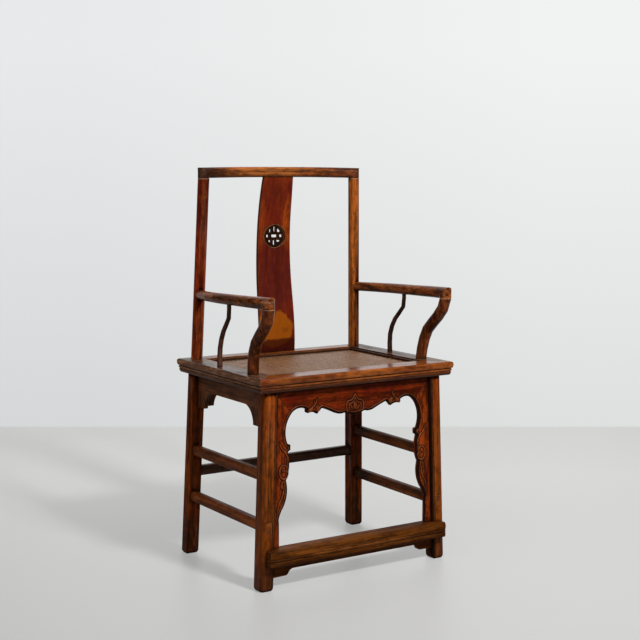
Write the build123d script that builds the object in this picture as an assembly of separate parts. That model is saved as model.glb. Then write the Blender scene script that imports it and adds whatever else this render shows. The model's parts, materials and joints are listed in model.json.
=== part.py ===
"""Official's hat armchair of the southern type, in jointed hardwood.

Millimetres. +Z is up, the sitter faces -Y, and the origin is on the floor under the
middle of the chair. Left and right are as seen by someone who stands in front of it.
Depths are measured backwards from the front edge of the seat.
"""

import os

from build123d import *

os.makedirs("parts", exist_ok=True)

# ---------------------------------------------------------------- driving dimensions

FRONT_Y = -211.7  # where the seat's front edge lies

# Seat frame: four mitred rails around a woven seat
SEAT_WIDTH = 564.0
SEAT_DEPTH = 430.0
SEAT_TOP = 512.0
FRAME_THICK = 34.0
SIDE_RAIL = 57.0
FRONT_RAIL = 57.0
BACK_RAIL = 47.0
REBATE_WIDTH = 15.0
REBATE_DEPTH = 15.0
WEBBING_THICK = 3.5
MAT_THICK = 3.0
STRIP_WIDTH = 8.0
STRIP_THICK = 5.5

# Legs: each leans on a straight line, from its foot up; (x, depth) of the axis
LEG_WIDTH = 35.5
LEG_ROUND = 11.0  # the outer corner
LEG_ARRIS = 2.5  # the other corners
FOOT_WEAR = 2.0
BEAD_ROUND = 4.0  # down the inner edge of each front leg, set off by a narrow groove
QUIRK_INSET = 8.0
QUIRK_RADIUS = 1.0
FRONT_FOOT = (256.3, 35.0)
FRONT_HEAD = (238.6, 36.0)  # at the underside of the seat
REAR_FOOT = (259.0, 416.0)
REAR_HEAD = (227.4, 373.4)  # at REAR_HEAD_HEIGHT
REAR_HEAD_HEIGHT = 999.0
POST_RADIUS = 14.6  # above the seat

# Crest rail and splat
CREST_SEAM = 972.0  # where the crest's elbow sits on the post
CREST_HEIGHT = 27.0
CREST_DEPTH = 27.6
CREST_ROUND = 10.0
CREST_END_Z = 986.2
CREST_MID_Z = 988.5
CREST_MID_DEPTH = 392.0
SPLAT_THICK = 10.0
SPLAT_BOW = [(397.5, 512), (396.0, 562), (401.0, 628), (409.0, 694), (413.0, 766),
             (409.0, 850), (400.5, 908), (385.2, 982)]  # front face, (depth, height)
SPLAT_EDGE = [(53.5, 512), (51.8, 660), (48.2, 815), (45.2, 950), (43.2, 982)]  # (half width, height)
ROUNDEL_CENTRE = (411.2, 819.0)  # (depth, height) on the front face
ROUNDEL_LEAN = -0.055
ROUNDEL_RADIUS = 29.5
ROUNDEL_SINK = 1.5
TONGUE_HALF = 36.0  # half the width of the splat's tongue in the crest rail

# Arms, their goose-neck front posts and the slender side posts
ARM_REAR = (240.6, 371.3, 677.9)
ARM_REAR_DIRECTION = (0.19, -1, 0.025)
ARM_REAR_RADIUS = 12.3
ARM_MIDDLE = (261.2, 185.0, 682.6)
ARM_MIDDLE_DIRECTION = (0, -1, 0.022)
ARM_MIDDLE_RADIUS = 13.4
ARM_FRONT = (257.0, 4.5, 687.0)
ARM_FRONT_DIRECTION = (-0.085, -1, 0.025)
ARM_FRONT_RADIUS = 14.6
ARM_COLLAR = 13.0  # half the length of the straight parts where other pieces join the arm
ARM_SEAM = 672.0
ARM_POST = [(248.2, 92.5, 512), (249.7, 88.5, 540), (251.8, 69.5, 589), (253.6, 34.5, 622),
            (255.6, 10.5, 650), (257.0, 4.5, 672)]
ARM_POST_FOOT_RADIUS = 14.0
ARM_POST_HEAD_RADIUS = 14.8
SIDE_POST = [(257.4, 242.0, 512), (256.8, 241.6, 552), (257.4, 228.5, 589), (259.4, 204.0, 619),
             (261.2, 185.0, 660)]
SIDE_POST_FOOT_RADIUS = 6.6
SIDE_POST_HEAD_RADIUS = 5.3
SIDE_POST_TOP = 679.0  # it goes up into the arm at its full thickness

# Boards under the seat
BOARD_THICK = 12.0
FRONT_BOARD_SETBACK = 9.5  # behind the front face of the legs
TONGUE_THICK = 6.0
TONGUE_REACH = 5.0
SIDE_APRON_FOOT = 434.0  # lower edge of the side and back aprons
BRACKET_FOOT = 389.0
BRACKET_REACH = 78.0
FRONT_BRACKET_WIDTH = 42.0
REAR_BRACKET_WIDTH = 32.0
BACK_BRACKET_WIDTH = 33.0

# Foot rail and stretchers
FOOT_RAIL_HALF = 258.0
FOOT_RAIL_FRONT = -6.0  # depth of its front face: it stands proud of the seat's edge
FOOT_RAIL_BACK = 40.0
FOOT_RAIL_LOW = 62.0
FOOT_RAIL_TOP = 100.0
STRETCHER_WIDE = 23.0
STRETCHER_HIGH = 27.0
STRETCHER_ROUND = 8.0
SIDE_UPPER_Z = 275.0
SIDE_LOWER_Z = 154.0
BACK_Z = 217.0

SEAT_UNDER = SEAT_TOP - FRAME_THICK
HALF_WIDTH = SEAT_WIDTH / 2
HALF_OPENING = HALF_WIDTH - SIDE_RAIL
BACK_OPENING = SEAT_DEPTH - BACK_RAIL
HALF_LEG = LEG_WIDTH / 2

nodes = {}


# ---------------------------------------------------------------- helpers

def place(x, depth, z):
    """A point given by its depth behind the seat's front edge."""
    return Vector(x, FRONT_Y + depth, z)


def block(x, depth, z):
    """A box from three (low, high) pairs, the second pair measured as a depth."""
    low, high = place(x[0], depth[0], z[0]), place(x[1], depth[1], z[1])
    size = high - low
    return Pos(*((low + high) * 0.5)) * Box(size.X, size.Y, size.Z)


def along(foot, head, head_height, z):
    """The (x, depth) of a leaning axis at height z."""
    t = z / head_height
    return foot[0] + (head[0] - foot[0]) * t, foot[1] + (head[1] - foot[1]) * t


def front_leg_axis(z):
    return along(FRONT_FOOT, FRONT_HEAD, SEAT_UNDER, z)


def rear_leg_axis(z):
    return along(REAR_FOOT, REAR_HEAD, REAR_HEAD_HEIGHT, z)


def across(edges, depth, thickness):
    """A board standing across the chair: its outline in (x, z), its front face at a depth."""
    face = Pos(0, FRONT_Y + depth, 0) * (Plane.XZ * make_face(Curve() + edges))
    return extrude(face, amount=-thickness)


def endwise(edges, x, thickness):
    """A board standing along the chair: its outline in (depth, z), from x outwards."""
    face = Pos(x, FRONT_Y, 0) * (Plane.YZ * make_face(Curve() + edges))
    return extrude(face, amount=thickness)


def bent_bar(line, sections, x_dir):
    """A bar along a smooth line, lofted in short runs between evenly spaced sections."""
    last = len(sections) - 1
    faces = [Plane(origin=line @ (i / last), x_dir=x_dir, z_dir=line % (i / last)) * section
             for i, section in enumerate(sections)]
    return loft(faces, ruled=True)


def bar_between(start, end, section):
    """A straight bar from one point to another, its section upright."""
    direction = end - start
    return extrude(Plane(origin=start, x_dir=(0, 0, 1), z_dir=direction) * section, amount=direction.length)


def tapering(section, start, end, runs):
    """Sections whose size changes evenly from start to end."""
    return [section(start + (end - start) * i / runs) for i in range(runs + 1)]


def collared_bar(section, collars, runs):
    """A bar with straight lengths where other pieces join it, and smooth bends between them.

    Each collar is (middle point, direction, half length, size of the section).
    """
    bar = Part()
    ends = []
    for middle, direction, half, size in collars:
        heading = Vector(*direction).normalized()
        start, end = place(*middle) - heading * half, place(*middle) + heading * half
        bar += bar_between(start, end, section(size))
        ends.append((start, end, heading, size))
    for (_, start, leaving, size), (end, _, arriving, next_size) in zip(ends, ends[1:]):
        line = Spline(start, end, tangents=[leaving, arriving])
        bar += bent_bar(line, tapering(section, size, next_size, runs), (0, 0, 1))
    return bar


def trim_end(bar, axis, direction, radius):
    """Round the end of a bar, in plan, to the upright post at axis (x, depth)."""
    centre = place(*axis, 0)
    beyond = Plane(origin=centre, x_dir=direction, z_dir=(0, 0, 1)) * Pos(50, 0, 0) * Box(100, 200, 3000)
    return bar - (beyond - Pos(*centre) * Cylinder(radius, 3000))


def mirrored(solid):
    return mirror(solid, about=Plane.YZ)


def both_sides(name, right_solid):
    """Store a right-hand piece and its mirror image on the left."""
    nodes[name.format("right")] = right_solid
    nodes[name.format("left")] = mirrored(right_solid)


# ---------------------------------------------------------------- legs and posts

def corner(square, x_side, y_side):
    """The corner of a leg's section on one side (+1 or -1) in x and in y."""
    return square.vertices().sort_by_distance((HALF_LEG * x_side, HALF_LEG * y_side, 0))[0]


def leg_section(outer_y, inner_round):
    """A square whose outer corner is well rounded; outer_y is -1 in front, +1 behind."""
    square = Rectangle(LEG_WIDTH, LEG_WIDTH)
    square = fillet([corner(square, 1, -outer_y), corner(square, -1, -outer_y)], LEG_ARRIS)
    square = fillet(corner(square, -1, outer_y), inner_round)
    return fillet(corner(square, 1, outer_y), LEG_ROUND)


def leaning(axis, section):
    """A bar on a leaning axis, cut off level at the floor and under the seat."""
    spare = 15
    start, end = place(*axis(-spare), -spare), place(*axis(SEAT_UNDER + spare), SEAT_UNDER + spare)
    lean = end - start
    bar = extrude(Plane(origin=start, x_dir=(1, 0, 0), z_dir=lean) * section, amount=lean.length)
    return bar & block((150, 400), (-100, 600), (0, SEAT_UNDER))


def square_leg(axis, section):
    """A leaning leg with the wear of the floor on its foot."""
    leg = leaning(axis, section)
    return chamfer(leg.faces().sort_by(Axis.Z)[0].edges(), FOOT_WEAR)


def round_post(low, high):
    """The round upper part of a rear leg: a rod on the leg's axis, cut off level."""
    spare = 10
    foot = place(*rear_leg_axis(low - spare), low - spare)
    head = place(*rear_leg_axis(high + spare), high + spare)
    return bar_between(foot, head, Circle(POST_RADIUS)) & block((100, 400), (200, 600), (low, high))


def peg(x, depth, low, high, radius):
    """A round tenon, upright."""
    middle = place(x, depth, (low + high) / 2)
    return Pos(*middle) * Cylinder(radius, high - low)


front_leg = square_leg(front_leg_axis, leg_section(-1, BEAD_ROUND))
quirk = leaning(front_leg_axis, Pos(QUIRK_INSET - HALF_LEG, -HALF_LEG) * Circle(QUIRK_RADIUS))
rear_leg_square = square_leg(rear_leg_axis, leg_section(1, LEG_ARRIS))
rear_post = round_post(SEAT_UNDER - 20, CREST_SEAM)
rear_leg = rear_leg_square + rear_post


# ---------------------------------------------------------------- seat frame

NOSE = 6.0
GROOVE_INSET = 5.0


def moulded_half(half):
    """Right half of the frame seen end-on: top, rounded nose, bead between grooves, slanted foot."""
    nose_top = (half - NOSE, 0)
    nose_side = (half, -NOSE)
    cove_top = (half - 1.6, -15.5)
    groove = (half - GROOVE_INSET, -17.5)
    bead_end = (half - GROOVE_INSET - 1, -24.0)
    foot_top = (half - GROOVE_INSET + 0.5, -25.5)
    foot = (half - 7.5, -FRAME_THICK)
    return [
        Line((0, 0), nose_top),
        ThreePointArc(nose_top, (half - 1.6, -1.8), nose_side),
        ThreePointArc(nose_side, (half - 0.3, -10.5), cove_top),
        Line(cove_top, groove),
        ThreePointArc(groove, (half - 3.2, -20.8), bead_end),
        Line(bead_end, foot_top),
        ThreePointArc(foot_top, (half - 5.2, -30.0), foot),
        Line(foot, (0, -FRAME_THICK)),
    ]


def moulded_blank():
    """The frame as one slab: two moulded bars crossing, so that the mouldings mitre at the corners."""
    slabs = []
    for half, plane in ((HALF_WIDTH, Plane.XZ), (SEAT_DEPTH / 2, Plane.YZ)):
        right = Curve() + moulded_half(half)
        outline = right + mirror(right, about=Plane.YZ)
        slab = extrude(plane * make_face(outline), amount=400, both=True)
        slabs.append(Pos(0, FRONT_Y + SEAT_DEPTH / 2, SEAT_TOP) * slab)
    return slabs[0] & slabs[1]


def mitre_wedge(points):
    """An upright prism that keeps one rail of the frame."""
    corners = [(x, FRONT_Y + depth) for x, depth in points]
    face = make_face(Polyline(*corners, close=True))
    return extrude(Pos(0, 0, SEAT_UNDER - 5) * face, amount=FRAME_THICK + 10)


seat_blank = moulded_blank()
ledge_z = SEAT_TOP - REBATE_DEPTH
inner = HALF_OPENING - REBATE_WIDTH
seat_blank -= block((-HALF_OPENING, HALF_OPENING), (FRONT_RAIL, BACK_OPENING), (ledge_z, SEAT_TOP + 5))
seat_blank -= block((-inner, inner), (FRONT_RAIL + REBATE_WIDTH, BACK_OPENING - REBATE_WIDTH),
                    (SEAT_UNDER - 5, SEAT_TOP + 5))

OVER = 20.0  # the wedges run past the frame along the same mitre lines
MOULD = 9.0  # through the mouldings every mitre is at 45 degrees
FRONT_LEFT, FRONT_RIGHT = (-HALF_WIDTH - OVER, -OVER), (HALF_WIDTH + OVER, -OVER)
BACK_LEFT, BACK_RIGHT = (-HALF_WIDTH - OVER, SEAT_DEPTH + OVER), (HALF_WIDTH + OVER, SEAT_DEPTH + OVER)
KNEE_LEFT, KNEE_RIGHT = (MOULD - HALF_WIDTH, SEAT_DEPTH - MOULD), (HALF_WIDTH - MOULD, SEAT_DEPTH - MOULD)
OPEN_FL, OPEN_FR = (-HALF_OPENING, FRONT_RAIL), (HALF_OPENING, FRONT_RAIL)
OPEN_BL, OPEN_BR = (-HALF_OPENING, BACK_OPENING), (HALF_OPENING, BACK_OPENING)
MIDDLE_LEFT, MIDDLE_RIGHT = (-100, SEAT_DEPTH / 2), (100, SEAT_DEPTH / 2)

rail_front = seat_blank & mitre_wedge([FRONT_LEFT, FRONT_RIGHT, OPEN_FR, MIDDLE_RIGHT, MIDDLE_LEFT, OPEN_FL])
rail_back = seat_blank & mitre_wedge([BACK_LEFT, BACK_RIGHT, KNEE_RIGHT, OPEN_BR, MIDDLE_RIGHT, MIDDLE_LEFT,
                                      OPEN_BL, KNEE_LEFT])
rail_side = seat_blank & mitre_wedge([FRONT_RIGHT, OPEN_FR, OPEN_BR, KNEE_RIGHT, BACK_RIGHT])

# Mitre tenons run from the long rails into the short ones
tenon_end = HALF_WIDTH - 10
mitre_tenon_z = (SEAT_UNDER + 6, SEAT_UNDER + 14)
front_mitre_tenon = block((tenon_end - 37, tenon_end), (30, 44), mitre_tenon_z)
back_mitre_tenon = block((tenon_end - 17, tenon_end), (SEAT_DEPTH - 21, SEAT_DEPTH - 12), mitre_tenon_z)
rail_front += front_mitre_tenon + mirrored(front_mitre_tenon)
rail_back += back_mitre_tenon + mirrored(back_mitre_tenon)
rail_side -= front_mitre_tenon + back_mitre_tenon

# The front legs enter the corner with a long and a short tenon, one each side of the mitre
leg_tenon_front = block((227, 237), (25, 39), (SEAT_UNDER - 6, SEAT_UNDER + 12))
leg_tenon_side = block((243, 253), (45, 52), (SEAT_UNDER - 6, SEAT_UNDER + 9))
front_leg += leg_tenon_front + leg_tenon_side
rail_front -= leg_tenon_front + mirrored(leg_tenon_front)
rail_side -= leg_tenon_side

# The rear posts pass through the rear corners
rail_back -= rear_post + mirrored(rear_post)
rail_side -= rear_post


# ---------------------------------------------------------------- crest rail and splat

post_top = rear_leg_axis(CREST_SEAM)
crest_slope = 2 * (post_top[1] - CREST_MID_DEPTH) / post_top[0]
crest_drop = 2 * (CREST_END_Z - CREST_MID_Z) / post_top[0]
crest_collar = POST_RADIUS + 8


def crest_section(corner_round):
    return RectangleRounded(CREST_HEIGHT, CREST_DEPTH, corner_round)


crest = collared_bar(crest_section, [
    ((-post_top[0], post_top[1], CREST_END_Z), (1, -crest_slope, -crest_drop), crest_collar, CREST_ROUND),
    ((0, CREST_MID_DEPTH, CREST_MID_Z), (1, 0, 0), TONGUE_HALF + 4, CREST_ROUND),
    ((post_top[0], post_top[1], CREST_END_Z), (1, crest_slope, crest_drop), crest_collar, CREST_ROUND),
], 3)

# Each end is half round in plan, and an elbow runs down from it to meet the post
elbow = peg(*post_top, CREST_SEAM, CREST_END_Z, POST_RADIUS)
for side in (-1, 1):
    crest = trim_end(crest, (side * post_top[0], post_top[1]), (side, 0, 0), POST_RADIUS)
crest += elbow + mirrored(elbow)
crest_tenon = peg(*post_top, CREST_SEAM - 4, CREST_SEAM + 14, 7)
crest -= crest_tenon + mirrored(crest_tenon)
rear_leg += crest_tenon


def splat_board():
    """A bowed board: its side profile crossed with its tapering front outline."""
    front = Spline(SPLAT_BOW)
    back = Pos(SPLAT_THICK, 0) * front
    profile = endwise([front, Line(front @ 1, back @ 1), back, Line(back @ 0, front @ 0)], -80, 160)
    edge = Spline(SPLAT_EDGE)
    other = mirror(edge, about=Plane.YZ)
    outline = [edge, Line(edge @ 1, other @ 1), other, Line(other @ 0, edge @ 0)]
    return profile & across(outline, CREST_MID_DEPTH - 60, 120)


def roundel_openings():
    """Nine openings of a lattice: a wide one in the middle, four arms and four corners."""
    corners = (Pos(15, 16.2) * Rectangle(14, 11.5)) & Circle(24.5)
    corners += mirror(corners, about=Plane.YZ)
    corners += mirror(corners, about=Plane.XZ)
    openings = RectangleRounded(22, 9, 3) + corners
    for side in (-1, 1):
        openings += Pos(side * 20.7, 0) * RectangleRounded(12.4, 8.6, 3.2)
        openings += Pos(0, side * 18) * RectangleRounded(9.6, 15, 3)
    return openings


roundel = Plane(origin=place(0, *ROUNDEL_CENTRE), x_dir=(1, 0, 0), z_dir=(0, -1, ROUNDEL_LEAN))
splat = splat_board()
splat -= roundel * Pos(0, 0, 10 - ROUNDEL_SINK) * Cylinder(ROUNDEL_RADIUS, 20)
splat -= extrude(roundel * roundel_openings(), amount=25, both=True)
splat -= crest
crest_tongue = block((-TONGUE_HALF, TONGUE_HALF), (CREST_MID_DEPTH - 2.5, CREST_MID_DEPTH + 3.5),
                     (CREST_SEAM - 4, CREST_SEAM + 12))
splat_foot = SPLAT_BOW[0][0]
seat_tongue = block((-46, 46), (splat_foot + 2, splat_foot + 8), (SEAT_TOP - 12, SEAT_TOP + 6))
splat += crest_tongue + seat_tongue
crest -= crest_tongue
rail_back -= seat_tongue


# ---------------------------------------------------------------- arms

arm = collared_bar(Circle, [
    (ARM_REAR, ARM_REAR_DIRECTION, ARM_COLLAR, ARM_REAR_RADIUS),
    (ARM_MIDDLE, ARM_MIDDLE_DIRECTION, ARM_COLLAR, ARM_MIDDLE_RADIUS),
    (ARM_FRONT, ARM_FRONT_DIRECTION, ARM_POST_HEAD_RADIUS + 3, ARM_FRONT_RADIUS),
], 3)
arm = trim_end(arm, ARM_FRONT[:2], (0, -1, 0), ARM_POST_HEAD_RADIUS)
arm += peg(*ARM_FRONT[:2], ARM_SEAM, ARM_FRONT[2], ARM_POST_HEAD_RADIUS)
arm -= rear_post
arm_shoulder = Plane(origin=place(*ARM_REAR), x_dir=(0, 0, 1), z_dir=ARM_REAR_DIRECTION)
arm_tenon = arm_shoulder * Pos(0, 0, -4) * Cylinder(6, 20)
arm += arm_tenon
rear_leg -= arm_tenon


def goose_neck(points, foot_radius, head_radius, runs):
    """A round post that starts and ends upright."""
    line = Spline([place(*p) for p in points], tangents=[(0, 0, 1), (0, 0, 1)])
    return bent_bar(line, tapering(Circle, foot_radius, head_radius, runs), (0, 1, 0))


arm_post = goose_neck(ARM_POST, ARM_POST_FOOT_RADIUS, ARM_POST_HEAD_RADIUS, 7)
arm_post_foot = peg(*ARM_POST[0][:2], SEAT_TOP - 16, SEAT_TOP + 2, 8)
arm_post_head = peg(*ARM_POST[-1][:2], ARM_SEAM - 2, ARM_SEAM + 13, 7)
arm_post += arm_post_foot + arm_post_head
rail_side -= arm_post_foot
arm -= arm_post_head

side_post = goose_neck(SIDE_POST, SIDE_POST_FOOT_RADIUS, SIDE_POST_HEAD_RADIUS, 7)
side_post_foot = peg(*SIDE_POST[0][:2], SEAT_TOP - 12, SEAT_TOP + 2, 4.5)
side_post_head = peg(*SIDE_POST[-1][:2], SIDE_POST[-1][2], SIDE_POST_TOP, SIDE_POST_HEAD_RADIUS)
side_post += side_post_foot + side_post_head
rail_side -= side_post_foot
arm -= side_post_head


# ---------------------------------------------------------------- woven seat

opening_x, opening_depth = (-HALF_OPENING, HALF_OPENING), (FRONT_RAIL, BACK_OPENING)
mat_low = ledge_z + WEBBING_THICK
strip_low = mat_low + MAT_THICK
seat_webbing = block(opening_x, opening_depth, (ledge_z, mat_low))
seat_mat = block(opening_x, opening_depth, (mat_low, strip_low))
strip_in = HALF_OPENING - STRIP_WIDTH
strip_front, strip_back = FRONT_RAIL + STRIP_WIDTH, BACK_OPENING - STRIP_WIDTH
strips = block(opening_x, opening_depth, (strip_low, strip_low + STRIP_THICK))
strips -= block((-strip_in, strip_in), (strip_front, strip_back), (strip_low - 5, strip_low + 20))
STRIP_FL, STRIP_FR = (-strip_in, strip_front), (strip_in, strip_front)
STRIP_BL, STRIP_BR = (-strip_in, strip_back), (strip_in, strip_back)

BRACE_X = 75.0
BRACE_WIDE = 24.0
brace_start, brace_end = FRONT_RAIL + REBATE_WIDTH, BACK_OPENING - REBATE_WIDTH
brace_middle = (brace_start + brace_end) / 2


def brace():
    """A batten under the webbing, bowed down in the middle so that the seat can give."""
    high, low = ledge_z - 2, ledge_z - 18
    top = ThreePointArc((brace_start, high), (brace_middle, high - 10), (brace_end, high))
    foot = ThreePointArc((brace_start, low), (brace_middle, low - 10), (brace_end, low))
    edges = [top, Line(top @ 1, foot @ 1), foot, Line(foot @ 0, top @ 0)]
    return endwise(edges, BRACE_X - BRACE_WIDE / 2, BRACE_WIDE)


brace_tenon_x, brace_tenon_z = (BRACE_X - 7, BRACE_X + 7), (ledge_z - 15, ledge_z - 6)
brace_tenons = block(brace_tenon_x, (brace_start - 14, brace_end + 14), brace_tenon_z)
brace_tenons -= block((0, 200), (brace_start + 4, brace_end - 4), (0, SEAT_TOP))
seat_brace = brace() + brace_tenons
rail_front -= brace_tenons + mirrored(brace_tenons)
rail_back -= brace_tenons + mirrored(brace_tenons)


# ---------------------------------------------------------------- boards under the seat

def tongued(edges_board, make_board, start, legs, shifts):
    """A board cut to the legs' faces, with a thinner tongue that runs on into grooves in them."""
    board = make_board(edges_board, start, BOARD_THICK)
    tongue = make_board(edges_board, start + (BOARD_THICK - TONGUE_THICK) / 2, TONGUE_THICK)
    for leg, shift in zip(legs, shifts):
        board -= leg
        tongue -= Pos(*shift) * leg
    return board + tongue


front_board = front_leg_axis(SEAT_UNDER)[1] - HALF_LEG + FRONT_BOARD_SETBACK
MITRE_FOOT = (180.5, 419.5)
MITRE_HEAD = (229.3, SEAT_UNDER)
LEG_MIDDLE = 244.0

apron_edge = [
    ThreePointArc((0, 401), (15, 402.6), (29, 407.5)),
    ThreePointArc((29, 407.5), (44, 405.9), (60, 410.8)),
    ThreePointArc((60, 410.8), (77, 418.3), (94, 424.8)),
    ThreePointArc((94, 424.8), (102, 419.2), (108, 411.8)),
    ThreePointArc((108, 411.8), (121, 417.5), (134, 416)),
    ThreePointArc((134, 416), (138, 420), (137, 425)),
    ThreePointArc((137, 425), (160, 430.6), MITRE_FOOT),
]
apron_half = apron_edge + [
    Line(MITRE_FOOT, MITRE_HEAD),
    Line(MITRE_HEAD, (0, SEAT_UNDER)),
    Line((0, SEAT_UNDER), (0, 401)),
]
spandrel_outline = [
    Line((217, FOOT_RAIL_TOP), (217, 166)),
    ThreePointArc((217, 166), (212.5, 180.5), (204, 196)),
    ThreePointArc((204, 196), (193.6, 228), (196, 260)),
    ThreePointArc((196, 260), (186.9, 294), (191, 328)),
    Polyline((191, 328), (183.5, 333), (183.5, 345.5), (191, 347.5)),
    ThreePointArc((191, 347.5), (196.4, 382), MITRE_FOOT),
    Line(MITRE_FOOT, MITRE_HEAD),
    Polyline(MITRE_HEAD, (LEG_MIDDLE, SEAT_UNDER), (LEG_MIDDLE, FOOT_RAIL_TOP), (217, FOOT_RAIL_TOP)),
]
outward = (TONGUE_REACH, 0, 0)
apron_right = tongued(apron_half, across, front_board, [front_leg], [outward])
front_apron = apron_right + mirrored(apron_right)
front_spandrel = tongued(spandrel_outline, across, front_board, [front_leg], [outward])
spandrel_foot = block((219, 229), (front_board + 3, front_board + 9), (FOOT_RAIL_TOP - 6, FOOT_RAIL_TOP + 4))
front_spandrel += spandrel_foot
apron_tongue_z = (SEAT_UNDER - 4, SEAT_UNDER + 5)
front_apron_tongue = block((-205, 205), (front_board + 3, front_board + 9), apron_tongue_z)
front_apron += front_apron_tongue
rail_front -= front_apron_tongue
front_leg_grooved = front_leg - quirk - front_spandrel - apron_right


def bracket_edges(root, face, side, width, foot):
    """A quarter-hollow bracket under an apron: root is inside the leg, face is the leg's face."""
    tip = (face + side * BRACKET_REACH, SIDE_APRON_FOOT)
    heel = (face + side * width, foot)
    hollow = (heel[0] + 0.29 * (tip[0] - heel[0]), foot + 0.66 * (SIDE_APRON_FOOT - foot))
    return [ThreePointArc(tip, hollow, heel), Polyline(heel, (root, foot), (root, SIDE_APRON_FOOT), tip)]


# Side aprons stand in the middle of the side, between the front and the rear leg
apron_middle = (SIDE_APRON_FOOT + SEAT_UNDER) / 2
bracket_middle = (BRACKET_FOOT + SIDE_APRON_FOOT) / 2
side_board = front_leg_axis(apron_middle)[0] + HALF_LEG - FRONT_BOARD_SETBACK - BOARD_THICK
front_root, rear_root = front_leg_axis(apron_middle)[1], rear_leg_axis(apron_middle)[1]
front_face = front_leg_axis(bracket_middle)[1] + HALF_LEG
rear_face = rear_leg_axis(bracket_middle)[1] - HALF_LEG
side_legs, side_shifts = [front_leg, rear_leg_square], [(0, -TONGUE_REACH, 0), (0, TONGUE_REACH, 0)]
side_apron_edges = [Polyline((front_root, SIDE_APRON_FOOT), (rear_root, SIDE_APRON_FOOT),
                             (rear_root, SEAT_UNDER), (front_root, SEAT_UNDER), close=True)]
side_apron = tongued(side_apron_edges, endwise, side_board, side_legs, side_shifts)
side_apron_tongue = block((side_board + 3, side_board + 9), (70, 365), apron_tongue_z)
side_apron += side_apron_tongue
rail_side -= side_apron_tongue
front_bracket = bracket_edges(front_root, front_face, 1, FRONT_BRACKET_WIDTH, BRACKET_FOOT)
side_bracket_front = tongued(front_bracket, endwise, side_board, side_legs[:1], side_shifts[:1])
rear_bracket = bracket_edges(rear_root, rear_face, -1, REAR_BRACKET_WIDTH, BRACKET_FOOT)
side_bracket_rear = tongued(rear_bracket, endwise, side_board, side_legs[1:], side_shifts[1:])

# Back apron and its brackets
back_board = rear_leg_axis(apron_middle)[1] + HALF_LEG - FRONT_BOARD_SETBACK - BOARD_THICK
inner_face = rear_leg_axis(bracket_middle)[0] - HALF_LEG
back_legs = [rear_leg_square, mirrored(rear_leg_square)]
back_shifts = [outward, (-TONGUE_REACH, 0, 0)]
back_apron_edges = [Polyline((-LEG_MIDDLE, SIDE_APRON_FOOT), (LEG_MIDDLE, SIDE_APRON_FOOT),
                             (LEG_MIDDLE, SEAT_UNDER), (-LEG_MIDDLE, SEAT_UNDER), close=True)]
back_apron = tongued(back_apron_edges, across, back_board, back_legs, back_shifts)
back_apron_tongue = block((-205, 205), (back_board + 3, back_board + 9), apron_tongue_z)
back_apron += back_apron_tongue
rail_back -= back_apron_tongue
back_bracket = bracket_edges(LEG_MIDDLE, inner_face, -1, BACK_BRACKET_WIDTH, BRACKET_FOOT - 3)
back_bracket = tongued(back_bracket, across, back_board, back_legs[:1], back_shifts[:1])


# ---------------------------------------------------------------- foot rail and stretchers

def foot_rail_section():
    """Seen end-on, (depth, z): a reeded front face and a rounded tread edge."""
    front, low, top = FOOT_RAIL_FRONT, FOOT_RAIL_LOW, FOOT_RAIL_TOP
    return [
        Polyline((FOOT_RAIL_BACK, top), (FOOT_RAIL_BACK, low), (front + 3.5, low)),
        ThreePointArc((front + 3.5, low), (front + 1.2, low + 2.5), (front + 0.8, low + 12)),
        Line((front + 0.8, low + 12), (front + 2.6, low + 13.5)),
        ThreePointArc((front + 2.6, low + 13.5), (front + 0.4, low + 16.8), (front + 2.6, low + 20)),
        Line((front + 2.6, low + 20), (front + 0.8, low + 21.5)),
        ThreePointArc((front + 0.8, low + 21.5), (front, low + 29), (front + 2, top - 2)),
        ThreePointArc((front + 2, top - 2), (front + 3.5, top - 0.4), (front + 6, top)),
        Line((front + 6, top), (FOOT_RAIL_BACK, top)),
    ]


front_legs = [front_leg, mirrored(front_leg)]
foot_rail = endwise(foot_rail_section(), -FOOT_RAIL_HALF, 2 * FOOT_RAIL_HALF)
for leg in front_legs:
    foot_rail -= leg
foot_rail_tenon = block((226, 249), (22, 34), (72, 90))
foot_rail += foot_rail_tenon + mirrored(foot_rail_tenon)
foot_rail -= spandrel_foot + mirrored(spandrel_foot)

FOOT_APRON_DEPTH = 26.0
foot_apron_half = [
    Line((0, 45), (176, 45)),
    ThreePointArc((176, 45), (186, 42.6), (191.5, 36.5)),
    ThreePointArc((191.5, 36.5), (195, 32), (200, 30)),
    Polyline((200, 30), (LEG_MIDDLE, 29), (LEG_MIDDLE, FOOT_RAIL_LOW), (0, FOOT_RAIL_LOW), (0, 45)),
]
foot_apron_right = tongued(foot_apron_half, across, FOOT_APRON_DEPTH, [front_leg], [outward])
foot_apron_tongue = block((-190, 190), (FOOT_APRON_DEPTH + 3, FOOT_APRON_DEPTH + 9),
                          (FOOT_RAIL_LOW - 4, FOOT_RAIL_LOW + 4))
foot_rail_apron = foot_apron_right + mirrored(foot_apron_right) + foot_apron_tongue
foot_rail -= foot_apron_tongue


TENON_FROM_AXIS = 22.0  # the tenons start inside the bar, this far from the leg's axis
STRETCHER_TENON = (18.0, 12.0)  # height and width
THROUGH_TENON = (26.0, 13.5)  # the lower side stretchers' front tenons show on the leg's face


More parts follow.
